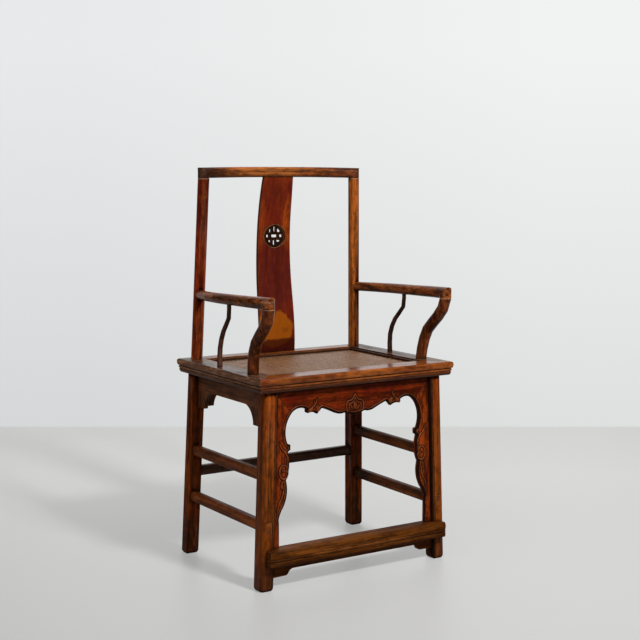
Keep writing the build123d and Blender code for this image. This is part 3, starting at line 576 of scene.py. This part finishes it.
for node, solid in frame["nodes"].items():
    if SLOTS[node] in FINISHES:
        solid.data.materials.clear()
        solid.data.materials.append(finish_for(node))
print(len(made_materials), "wood finishes on", len(frame["nodes"]), "pieces")

# %% [markdown]
# ## Wear that has changed the shape
# A floor rounds off the feet of a chair, and heels wear its foot rail hollow. The feet are worn
# on copies of the legs: level cuts are made where the surface has to bend, and the points below
# are drawn in. The foot rail is a moulding carried sideways, so it is drawn afresh, with its
# front edge lowered towards the middle.

# %% Worn feet
WEAR_HEIGHT = 0.010  # of the rounded foot
WEAR_INSET = 0.0065  # of each side, at the floor
CUT_ANGLES = np.radians([20, 35, 50, 65, 80])
SOLE_CHAMFER = 0.002
SOLE_LEVEL = 0.0002  # points below this are on the sole
LEG_HALF = 0.01775
HEAD_MIDDLE = np.array([0.2386, -0.1757])  # of a right front leg under the seat
HEAD_HEIGHT = 0.479
INNER_SIDE = 0.0130  # from the middle of a front leg to its inner side
QUIRK = 0.00975  # and to the fine groove beside that
QUIRK_HALF = 0.0009


def dress(piece, node, material):
    """Puts a visual piece in the place of a solid, with its material."""
    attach(piece, "root")
    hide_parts(node)
    piece.data.materials.clear()
    piece.data.materials.append(material)


def inner_shade_and_dirt(places, foot, head):
    """Painted shade on the inner side of a front leg, beside the board, and on its bead; dirt and
    painted shade in its fine groove.

    The leg's middle at a height is foot + (head - foot) * height / HEAD_HEIGHT, and inward is the
    distance from it towards the middle of the chair.
    """
    middle = foot + (head - foot) * (places[:, 2:] / HEAD_HEIGHT)
    offset = places[:, :2] - middle
    inward = -offset[:, 0] * np.sign(foot[0])
    side = np.clip((inward - INNER_SIDE) / 0.0020, 0, 1) * 0.93
    bead = (inward > QUIRK) * 0.5
    groove = (np.abs(inward - QUIRK) < QUIRK_HALF) * 0.9
    return np.where(offset[:, 1] < 0, np.maximum(side, np.maximum(bead, groove)), 0)


def cut_foot(mesh):
    """Level cuts through a leg at heights of WEAR_HEIGHT * (1 - cos angle), where its foot bends."""
    shape = bmesh.new()
    shape.from_mesh(mesh)
    bmesh.ops.remove_doubles(shape, verts=shape.verts, dist=1e-6)
    for angle in CUT_ANGLES:
        everything = [*shape.verts, *shape.edges, *shape.faces]
        height = WEAR_HEIGHT * (1 - math.cos(angle))
        bmesh.ops.bisect_plane(shape, geom=everything, plane_co=(0, 0, height), plane_no=(0, 0, 1))
    shape.to_mesh(mesh)
    shape.free()


def worn_leg(node):
    """A copy of a leg that narrows along a quarter ellipse from WEAR_HEIGHT down.

    Each side moves in by WEAR_INSET * (1 - root of (1 - rise squared)); rise is 1 at the floor.
    """
    mesh = frame["nodes"][node].data.copy()
    cut_foot(mesh)
    places = read(mesh.vertices, "co", np.float32)
    up = places[:, 2]
    on_sole = up < SOLE_LEVEL
    sole = places[on_sole, :2]
    middle = (sole.min(0) + sole.max(0)) / 2
    rise = np.clip(1 - up / WEAR_HEIGHT, 0, 1)
    inset = WEAR_INSET * (1 - np.sqrt(1 - rise**2))
    narrowed = (LEG_HALF - inset) / (LEG_HALF - np.clip(SOLE_CHAMFER - up, 0, None))
    worn = up < WEAR_HEIGHT
    places[worn, :2] = middle + (places[worn, :2] - middle) * np.minimum(narrowed, 1)[worn, None]
    mesh.vertices.foreach_set("co", places.ravel())
    mesh.shade_smooth()
    mesh.set_sharp_from_angle(angle=math.radians(32))
    piece = bpy.data.objects.new("worn_" + node, mesh)
    scene.collection.objects.link(piece)
    # the front legs: painted shade on the inner side and bead, dirt and painted shade in the groove
    if node.startswith("front"):
        head = HEAD_MIDDLE * [np.sign(middle[0]), 1]
        attribute(piece, "carved_dirt", inner_shade_and_dirt(places, middle, head))
    dress(piece, node, finish_for(node))
    print(piece.name, "foot", np.round(np.ptp(places[on_sole, :2], axis=0) * 1000, 1), "mm at the floor")


for node in ("front_leg_left", "front_leg_right", "rear_leg_left", "rear_leg_right"):
    worn_leg(node)

# %% The foot rail
RAIL_HALF = 0.258
RAIL_FRONT, RAIL_TOP = -0.2177, 0.100
RAIL_LIP = 0.0065  # how far back the rounding of the front edge goes
REEDS_TOP = 0.0835
TREAD_WEAR = 0.0150
TREAD_HALF = 0.24
TREAD_DEPTH = 0.030


def foot_rail_profile():
    """Round the section, (distance behind the front, height): back, underside, three reeds, top."""
    back = [(46, 100), (46, 62), (24, 62), (3.5, 62)]
    reeds = [(1.9, 63), (1.2, 64.5), (0.85, 68), (0.8, 74), (2.6, 75.5), (1.1, 77), (0.4, 78.8),
             (1.1, 80.6), (2.6, 82), (0.8, 83.5), (0.3, 87), (0, 91), (0.7, 95)]
    top = [(2, 98), (3.5, 99.6), *((behind, 100) for behind in (6, 9, 12, 16, 20, 25, 30, 38))]
    return np.array(back + reeds + top) / 1000


def worn_foot_rail(name, stations=130):
    """The moulding along x, its front edge lowered by TREAD_WEAR * (1 - |x / TREAD_HALF| cubed).

    Behind the edge the wear dies out along a quarter ellipse over TREAD_DEPTH. In front, what is
    above the reeds is squeezed down.
    """
    x = np.linspace(-RAIL_HALF, RAIL_HALF, stations)[:, None]
    behind, height = foot_rail_profile().T
    wear = TREAD_WEAR * np.clip(1 - np.abs(x / TREAD_HALF) ** 3, 0, 1)
    squeeze = (RAIL_TOP - wear - REEDS_TOP) / (RAIL_TOP - REEDS_TOP)
    fade = 1 - np.sqrt(1 - np.clip(1 - behind / TREAD_DEPTH, 0, 1) ** 2)
    front = behind < RAIL_LIP
    squeezed = REEDS_TOP + (height - REEDS_TOP) * squeeze
    hollow = height - wear * fade
    z = np.where(height <= REEDS_TOP, height, np.where(front, np.minimum(squeezed, hollow), hollow))
    y = RAIL_FRONT + behind + 0 * x
    points = np.stack([x + 0 * z, y, z], axis=-1)
    index = np.arange(z.size).reshape(z.shape)
    quads = tube_faces(index).tolist()
    ends = [index[0, ::-1].tolist(), index[-1].tolist()]
    piece = new_mesh(name, points.reshape(-1, 3), quads + ends)
    piece.data.set_sharp_from_angle(angle=math.radians(34))
    dress(piece, "foot_rail", finish_for("foot_rail"))
    print(name, 2 * len(quads), "triangles")


worn_foot_rail("worn_foot_rail")

# %% [markdown]
# ## The woven seat
# The seat is a fine mat of split cane over a coarse webbing of palm fibre, both held in the
# rebate of the frame. A mat could be a flat sheet with a woven picture on it, but its gleam
# comes from real strands that rise and dip. Each strand of the mat is a flat bar carried over
# two crossings and under two, a step behind the last one, which gives a twill. The webbing goes
# over one and under one.

# %% Strands that cross
COVER = 0.93  # the width of a strand, as a part of the pitch


def strands(name, box, pitch, thick, lift, twill, along_x):
    """Flat strands side by side, each a closed bar that goes over and under its crossings.

    The middle of strand i at crossing j lies lift above the mat's middle where (i + j) modulo
    2 * twill is below twill, and lift below it elsewhere; the strands of the other direction
    take the opposite sign. A bar's corners lie on an oval, at width * cos and thick * sin.
    """
    low, high = np.array(box)
    middle = (low[2] + high[2]) / 2
    counts = np.round((high - low)[:2] / pitch).astype(int)
    steps = [low[k] + (np.arange(counts[k]) + 0.5) * (high[k] - low[k]) / counts[k] for k in (0, 1)]
    lengthwise, sign = (0, -1) if along_x else (1, 1)
    side, run = steps[1 - lengthwise], steps[lengthwise]
    i, j = np.meshgrid(np.arange(len(side)), np.arange(len(run)), indexing="ij")
    over = np.where((i + j) % (2 * twill) < twill, 1.0, -1.0) * sign
    rise = np.pad(over, ((0, 0), (1, 1)), mode="edge") * lift
    run = np.concatenate([[low[lengthwise]], run, [high[lengthwise]]])
    corner = np.arange(4) * math.pi / 2
    across = side[:, None, None] + pitch * COVER / 2 * np.cos(corner) + 0 * rise[:, :, None]
    along = run[None, :, None] + 0 * across
    up = middle + rise[:, :, None] + thick / 2 * np.sin(corner)
    points = np.stack([along, across, up] if along_x else [across, along, up], axis=-1)

    index = np.arange(up.size).reshape(up.shape)
    faces = np.concatenate([tube_faces(index), index[:, 0, ::-1], index[:, -1]])
    faces = faces if along_x else faces[:, ::-1]
    piece = new_mesh(name, points.reshape(-1, 3), faces)
    tone = np.random.default_rng(len(side)).random(len(side))
    attribute(piece, "strand_tone", np.repeat(tone, index[0].size))
    print(name, len(side), "strands,", 2 * len(faces), "triangles")
    return piece


# %% Cane and fibre
POLISH = 2.5  # so many times straight up is added to the normal of a rubbed strand


def woven_material(name, pale, deep, dust, gloss):
    """Cane or fibre: each strand has its own tone between pale and deep, under patches of dust."""
    material, tree = new_material(name)
    place = add(tree, "TexCoord").outputs["Object"]
    tone = add(tree, "Attribute", attribute_name="strand_tone").outputs["Fac"]
    fleck, patch, mottle = (
        add(tree, "TexNoise", {"Vector": place, "Scale": scale, "Detail": detail, "Roughness": rough})
        for scale, detail, rough in ((300.0, 2.0, 0.5), (11.0, 4.0, 0.5), (150.0, 3.0, 0.6)))
    colour = laid_over(tree, mixed(tree, tone, pale, deep), [
        (fleck, 0.48, 0.62, 0.7, deep), (patch, 0.4, 0.65, 0.55, dust), (mottle, 0.52, 0.60, 0.35, pale)])
    worn_through = between(tree, mottle, 0.47, 0.40, 0.0, 0.5)
    colour = mixed(tree, worn_through, colour, deep)
    roughness = maths(tree, "ADD", maths(tree, "MULTIPLY", worn_through, 0.3), gloss)
    true = add(tree, "NewGeometry").outputs["Normal"]
    way = maths(tree, "SIGN", add(tree, "SeparateXYZ", {0: true}).outputs["Z"])
    upright = add(tree, "CombineXYZ", {2: maths(tree, "MULTIPLY", way, POLISH)})
    level = vector_node(tree, "NORMALIZE", vector_node(tree, "ADD", true, upright))
    raised = add(tree, "Bump", {"Height": fleck, "Strength": 0.4, "Distance": 0.0003, "Normal": level})
    inputs = {"Base Color": colour, "Roughness": roughness, "Normal": raised}
    surface = add(tree, "BsdfPrincipled", inputs)
    add(tree, "OutputMaterial", {"Surface": surface})
    return material


cane = woven_material("woven_cane", screen(180, 134, 94), screen(96, 58, 36), screen(142, 104, 76), 0.30)
fibre = woven_material("fibre_webbing", screen(126, 92, 58), screen(78, 52, 32), screen(96, 74, 54), 0.8)
print(cane.name, "and", fibre.name, "are ready")

# %% Lay the mat and the webbing
MAT_PITCH = 0.0031
WEB_PITCH = 0.0104

for layer, pitch, thick, lift, twill, material in (
        ("seat_mat", MAT_PITCH, 0.0009, 0.0006, 2, cane),
        ("seat_webbing", WEB_PITCH, 0.0016, 0.0009, 1, fibre)):
    for direction, along_x in (("across", True), ("lengthwise", False)):
        piece = strands(f"{layer}_{direction}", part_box(layer), pitch, thick, lift, twill, along_x)
        dress(piece, layer, material)

# %% [markdown]
# ## Carving the apron
# The front apron and the two boards beside the legs are cut out in cusps, edged with a thin
# raised bead, and carved with leaf sprays, a cloud-shaped tongue in the middle and a scroll on
# each side board. A carver starts from a flat board, and so do these cells: its front becomes a
# fine grid, every point of which is moved in or out by a relief function, and the points along
# its edge are pulled onto the true outline of the board.

# %% Distances to lines in the board
def nearest(points, starts, ends):
    """For each point the distance to the nearest segment, how far along the line it is, and where.

    The foot of the perpendicular is start + t * (end - start) with t held between 0 and 1.
    """
    span = ends - starts
    length = np.linalg.norm(span, axis=1)
    offset = points[:, None] - starts[None]
    t = np.clip((offset * span).sum(-1) / np.maximum(length, 1e-9) ** 2, 0, 1)
    away_by = np.linalg.norm(offset - t[..., None] * span, axis=-1)
    best = away_by.argmin(axis=1)
    pick = np.arange(len(points)), best
    travelled = np.concatenate([[0], np.cumsum(length)])
    foot = starts[best] + t[pick][:, None] * span[best]
    return away_by[pick], (travelled[best] + t[pick] * length[best]) / travelled[-1], foot


def flowing(points, steps=10):
    """A smooth line through points: cubics whose end slopes point from neighbour to neighbour."""
    p = np.array(points, float)
    p = np.concatenate([[2 * p[0] - p[1]], p, [2 * p[-1] - p[-2]]])
    t = np.linspace(0, 1, steps, endpoint=False)[:, None, None]
    a, b, c, d = p[:-3], p[1:-2], p[2:-1], p[3:]
    curve = 0.5 * (2 * b + (c - a) * t + (2 * a - 5 * b + 4 * c - d) * t**2
                   + (3 * b - a - 3 * c + d) * t**3)
    return np.concatenate([curve.transpose(1, 0, 2).reshape(-1, 2), p[-2:-1]])


def board_outline(node):
    """The edges round the front face of a board, as starts and ends in (x, z), and the face's y.

    An edge of the outline belongs to one triangle of the face; an inner edge to two.
    """
    mesh = frame["nodes"][node].data
    mesh.calc_loop_triangles()
    corners = read(mesh.vertices, "co", float)[read(mesh.loop_triangles, "vertices", np.int32)]
    front = corners[..., 1].min()
    face = corners[np.all(np.abs(corners[..., 1] - front) < 1e-5, axis=1)][..., [0, 2]]
    edges = np.concatenate([face[:, [0, 1]], face[:, [1, 2]], face[:, [2, 0]]])
    keys = np.round(edges * 1e6).astype(np.int64)
    (x, z), (next_x, next_z) = keys[:, 0].T, keys[:, 1].T
    backward = (x > next_x) | ((x == next_x) & (z > next_z))
    keys[backward] = keys[backward][:, ::-1]
    _, first, count = np.unique(keys.reshape(-1, 4), axis=0, return_index=True, return_counts=True)
    outline = edges[first[count == 1]]
    return outline[:, 0], outline[:, 1], front


print("the apron's outline has", len(board_outline("front_apron")[0]), "straights")


# %% Strokes of the chisel
EDGE_BEAD = 0.0060  # from the cut edge to the middle of the bead
BEAD_HALF = 0.0014
BEAD_RISE = 0.0012
MARGIN_SINK = 0.0010
ROUNDING = 0.0012  # width of the rounding at the cut edge
GROOVE = 0.0012  # half the width of the cut beside a raised line
GROOVE_SINK = 0.0009
VEIN = 0.0007
VEIN_SINK = 1.3  # times the rise of its leaf
BEAD_GROOVE_SINK = 0.0006


def bump(distance, half_width):
    """1 on the line, falling as a circle's arc to 0 at half_width."""
    return np.sqrt(np.clip(1 - (distance / half_width) ** 2, 0, None))


def swelling(places, path, held):
    """How far points are from a smooth path, and the sine of how far along it, held from the ends."""
    curve = flowing(path)
    distance, along, _ = nearest(places, curve[:-1], curve[1:])
    return distance, np.sin(math.pi * np.clip(along, held, 1 - held))


def groove(distance, half):
    """1 in the middle of the cut outside a raised line, fading as a bell curve."""
    return np.exp(-((distance - half - GROOVE) / GROOVE) ** 2)


def stroke(places, path, half_width, rise, pointed=True):
    """A raised line between fine grooves; a pointed one narrows by the root of the sine."""
    distance, swell = swelling(places, path, 0.02)
    half = half_width * (swell**0.5 if pointed else 1.0)
    return rise * bump(distance, half) - GROOVE_SINK * groove(distance, half) * (distance > half)


def leaf(places, path, half_width, rise):
    """A pointed leaf that swells by the sine to a power of 0.7, with a vein cut along it."""
    distance, swell = swelling(places, path, 0.03)
    half = half_width * swell**0.7
    vein = np.exp(-(distance / VEIN) ** 2) * (distance < half)
    beside_it = groove(distance, half) * (distance > half)
    return rise * bump(distance, half) - GROOVE_SINK * beside_it - VEIN_SINK * rise * vein


def edge_moulding(distance):
    """Across the border: a sunk margin, rounded off at the very edge, then the bead and its groove."""
    margin = -MARGIN_SINK * np.clip((EDGE_BEAD - distance) / ROUNDING, 0, 1)
    worn = -MARGIN_SINK * np.clip(1 - distance / ROUNDING, 0, 1) ** 2
    bead = BEAD_RISE * bump(distance - EDGE_BEAD, BEAD_HALF)
    return margin + worn + bead - BEAD_GROOVE_SINK * groove(distance - EDGE_BEAD, BEAD_HALF)


def layered(reliefs):
    """The strongest relief at each point, whether it rises or sinks."""
    stack = np.array(reliefs)
    return np.take_along_axis(stack, np.abs(stack).argmax(axis=0)[None], axis=0)[0]


print("the bead stands", round((BEAD_RISE + MARGIN_SINK) * 1000, 1), "mm above the margin")


# %% A grid inside an outline
CARVING_PITCH = 0.0009


def gridded(starts, ends):
    """A square grid inside an outline, as points and quads, its rim pulled onto the outline.

    A cell is inside if a ray from its centre towards +x crosses the outline an odd number of times.
    """
    corner, opposite = np.minimum(starts, ends).min(0), np.maximum(starts, ends).max(0)
    counts = np.ceil((opposite - corner) / CARVING_PITCH).astype(int)
    columns, rows = (corner[k] + np.arange(counts[k] + 1) * CARVING_PITCH for k in (0, 1))
    grid = np.stack(np.meshgrid(columns, rows, indexing="ij"), axis=-1)
    centres = (grid[:-1, :-1] + CARVING_PITCH / 2).reshape(-1, 2)

    crossing = (starts[:, 1] > centres[:, 1:]) != (ends[:, 1] > centres[:, 1:])
    across, up = (ends - starts).T
    slope = across / np.where(up == 0, 1, up)
    at = starts[:, 0] + (centres[:, 1:] - starts[:, 1]) * slope
    inside = ((crossing & (at > centres[:, :1])).sum(axis=1) % 2).astype(bool)

    index = np.arange(grid[..., 0].size).reshape(grid.shape[:2])
    cells = np.stack([index[:-1, :-1], index[1:, :-1], index[1:, 1:], index[:-1, 1:]], axis=-1)
    used, faces = np.unique(cells.reshape(-1, 4)[inside], return_inverse=True)
    faces = faces.reshape(-1, 4)
    places = grid.reshape(-1, 2)[used]

    rim = np.bincount(faces.ravel(), minlength=len(places)) < 4
    places[rim] = nearest(places[rim], starts, ends)[2]
    return places, faces


print("the carving has cells of", CARVING_PITCH * 1000, "mm")


# %% A carved board
BOARD_THICK = 0.012
JOINT_DIRT = 0.0016  # width of the dirt along a joint
# sunk carving is darkened with dirt and painted shade; raised carving is rubbed bare
CARVED_TONES = ("carved_dirt", 0.0, -0.0006, 0.97), ("carved_ridge", 0.0008, 0.0014, 0.25)


def thicken(piece, back):
    """Gives a worked front its thickness: walls straight back from its rim, and a flat back."""
    shape = bmesh.new()
    shape.from_mesh(piece.data)
    border = [edge for edge in shape.edges if edge.is_boundary]
    walls = bmesh.ops.extrude_edge_only(shape, edges=border)["geom"]
    dirt_and_shade = shape.verts.layers.float["carved_dirt"]
    for vert in (item for item in walls if isinstance(item, bmesh.types.BMVert)):
        vert.co.y = back
        vert[dirt_and_shade] = 0.0
    bmesh.ops.holes_fill(shape, edges=[edge for edge in shape.edges if edge.is_boundary], sides=0)
    bmesh.ops.recalc_face_normals(shape, faces=shape.faces)
    for face in shape.faces:
        face.smooth = abs(face.normal.y) > 0.05 and len(face.verts) == 4
    shape.to_mesh(piece.data)
    shape.free()


def carved_board(name, node, free_edge, ornament):
    """The board of a node with its front worked, alike at -x and +x; the strongest relief counts.

    Each of CARVED_TONES grows from none to the most as the relief goes from start to end.
    """
    starts, ends, front = board_outline(node)
    places, faces = gridded(starts, ends)
    free = free_edge(*((starts + ends) / 2).T)
    distance = nearest(places, starts[free], ends[free])[0]
    relief = layered([edge_moulding(distance), *ornament(np.abs(places))])
    joint = np.clip(1 - nearest(places, starts[~free], ends[~free])[0] / JOINT_DIRT, 0, 1)
    piece = new_mesh(name, np.stack([places[:, 0], front - relief, places[:, 1]], axis=-1), faces)
    for label, start, end, most in CARVED_TONES:
        amount = np.clip((relief - start) / (end - start), 0, 1) * most
        attribute(piece, label, np.maximum(amount, joint) if label == "carved_dirt" else amount)
    thicken(piece, front + BOARD_THICK)
    dress(piece, node, finish_for(node))
    print(name, len(faces), "cells, relief", np.round([relief.min() * 1000, relief.max() * 1000], 1), "mm")


# %% The ornaments
MITRE_FOOT = (0.1805, 0.4195)  # where the apron's mitre meets the cut-out
CUSP_RISE = 0.012  # of the cut-out above that
STILE_FOOT = 0.2165  # where the side boards' cut-out ends


def mm(*points):
    """Places on the board, written in millimetres, in metres."""
    return [(x / 1000, z / 1000) for x, z in points]


def apron_ornament(half):
    """Leaf sprays at the side and a cloud tongue in the middle, for the half of the apron at +x."""
    spray_stem = mm((110, 450), (112, 442), (117, 434), (125, 428.5), (133, 424))
    spray_twig = mm((118, 446), (117, 438), (120, 431), (124, 425))
    cloud = mm((0, 451), (5, 442), (11, 437), (20, 435), (25, 428), (24.5, 418), (22, 409))
    inner = mm((0, 442), (6, 432), (13, 428.5), (17.5, 423), (17, 413))
    return [
        stroke(half, spray_stem, 0.0018, 0.0016),
        stroke(half, spray_twig, 0.0013, 0.0013),
        leaf(half, mm((113, 434), (107, 427), (104, 420), (107, 413)), 0.0048, 0.0018),
        leaf(half, mm((120, 428), (126, 424), (132, 420), (137, 421)), 0.0040, 0.0018),
        stroke(half, cloud, 0.0017, 0.0017, pointed=False),
        stroke(half, inner, 0.0013, 0.0014, pointed=False),
        leaf(half, mm((0, 434), (0, 427), (0, 419), (0, 411)), 0.0046, 0.0020),
        leaf(half, mm((3, 413), (8, 417), (11, 422), (10, 426)), 0.0026, 0.0016),
    ]


def side_ornament(half):
    """A scroll that curls over itself above a stem, and a long leaf that leaves the bead above it."""
    scroll = mm((206, 282), (198, 284), (191.5, 278), (194, 268), (205, 265), (213, 273), (214.5, 286),
                (209, 296), (200, 298), (195.5, 292), (197.5, 287))
    stem = mm((205, 264), (200, 256), (203, 245), (204.5, 233), (209, 220), (217, 204), (222, 180))
    long_leaf = mm((216, 354), (209, 339), (199, 328), (192, 316), (190, 304))
    return [
        stroke(half, scroll, 0.0019, 0.0017),
        stroke(half, stem, 0.0016, 0.0014),
        stroke(half, long_leaf, 0.0020, 0.0016),
        leaf(half, mm((203, 262), (208, 254), (209, 246), (206, 238)), 0.0028, 0.0014),
    ]


def apron_free(x, z):
    """Where the apron's edge is cut out, and not let in or mitred."""
    return (np.abs(x) < MITRE_FOOT[0]) & (z < MITRE_FOOT[1] + CUSP_RISE)


def side_free(x, z):
    """The same for a side board, above the foot rail."""
    return (np.abs(x) < STILE_FOOT) & (z < MITRE_FOOT[1]) & (z > RAIL_TOP + 0.001)


carved_board("carved_apron", "front_apron", apron_free, apron_ornament)
for hand in ("left", "right"):
    carved_board(f"carved_spandrel_{hand}", f"front_spandrel_{hand}", side_free, side_ornament)

# %% [markdown]
# ## The openwork roundel
# The roundel in the back board is a little lattice inside a thin raised ring. It could be cut in
# the board itself, but a thin plate with nine rounded openings, laid in its recess, is a grid
# that the carving's helpers can make. The ring is a small circle carried along an oval.

# %% Fret and ring
ROUNDEL_MIDDLE = np.array([0.0008, 0.1995, 0.8195])
ROUNDEL_LEAN = -0.055  # how far the board's face comes forward for every unit up
FRET_RADIUS = 0.0293
FRET_SUNK = 0.0007
FRET_THICK = 0.0014
RING_HALVES = 0.0336, 0.0309
RING_BEAD = 0.0009
FRET_MIDDLE = 0, 819  # in mm, as are the openings: x, z, half width, half height
OPENINGS = [(-12.6, 834.4, 3.0, 4.2), (0.2, 839.2, 2.8, 7.4), (12.4, 834.6, 3.8, 4.4),
            (-20.0, 821.4, 4.6, 4.4), (-0.2, 820.9, 8.8, 4.1), (20.0, 821.0, 4.2, 4.4),
            (-12.6, 808.2, 4.2, 3.8), (-0.4, 804.2, 3.2, 7.8), (11.3, 808.4, 4.2, 3.8)]
BOXED = 0.6  # between an oval and a box


def loop(x, z, half_x, half_z, power=1.0, corners=40):
    """A closed line round (x, z) in mm, its halves times cos and sin to a power: 1 gives an oval."""
    turn = np.linspace(0, 2 * math.pi, corners, endpoint=False)
    swing = np.stack([np.cos(turn), np.sin(turn)], axis=1)
    line = np.array([x, z]) + np.array([half_x, half_z]) * np.sign(swing) * np.abs(swing) ** power
    return line / 1000, np.roll(line, -1, axis=0) / 1000


def on_board(places, sunk):
    """Points of the board's face in space, some way sunk into it."""
    y = ROUNDEL_MIDDLE[1] + ROUNDEL_LEAN * (places[:, 1] - ROUNDEL_MIDDLE[2]) + sunk
    return np.stack([places[:, 0], y, places[:, 1]], axis=-1)


def fret(name):
    """A plate with openings: the same grid in front and behind, joined by walls along every rim.

    A rim edge is one whose opposite direction belongs to no other cell.
    """
    disc = loop(*FRET_MIDDLE, 1000 * FRET_RADIUS, 1000 * FRET_RADIUS, corners=120)
    loops = [disc] + [loop(*opening, power=BOXED) for opening in OPENINGS]
    places, faces = gridded(*(np.concatenate(side) for side in zip(*loops)))
    count = len(places)
    edges = np.concatenate([faces[:, [k, (k + 1) % 4]] for k in range(4)])
    rim = edges[~np.isin(edges[:, 0] * count + edges[:, 1], edges[:, 1] * count + edges[:, 0])]
    walls = np.stack([rim[:, 1], rim[:, 0], rim[:, 0] + count, rim[:, 1] + count], axis=-1)
    points = np.concatenate([on_board(places, FRET_SUNK), on_board(places, FRET_SUNK + FRET_THICK)])
    piece = new_mesh(name, points, np.concatenate([faces, faces[:, ::-1] + count, walls]))
    piece.data.set_sharp_from_angle(angle=math.radians(30))
    print(name, len(faces), "cells and", len(walls), "walls")
    return piece


def ring(name, halves, bead):
    """An oval bead: at angle b round the bead, each half is longer by bead * cos b."""
    a, b = np.meshgrid(*(np.linspace(0, 2 * math.pi, count, endpoint=False) for count in (96, 10)),
                       indexing="ij")
    outward = np.array([0, -1, ROUNDEL_LEAN]) / math.hypot(1, ROUNDEL_LEAN)
    upward = np.array([0, ROUNDEL_LEAN, 1]) / math.hypot(1, ROUNDEL_LEAN)
    across = (halves[0] + bead * np.cos(b)) * np.cos(a)
    up = (halves[1] + bead * np.cos(b)) * np.sin(a)
    points = (ROUNDEL_MIDDLE + across[..., None] * np.array([1, 0, 0]) + up[..., None] * upward
              + (bead * np.sin(b))[..., None] * outward)
    index = np.arange(a.size).reshape(a.shape)
    next_a, next_b = np.roll(index, -1, 0), np.roll(index, -1, 1)
    faces = np.stack([index, next_a, np.roll(next_a, -1, 1), next_b], axis=-1).reshape(-1, 4)
    return new_mesh(name, points.reshape(-1, 3), faces)


plate = fret("roundel_fret")
rim = ring("roundel_ring", RING_HALVES, RING_BEAD)
for piece, finish in ((plate, "back_splat"), (rim, "roundel_ring")):
    piece.data.materials.append(finish_for(finish))
    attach(piece, "root")
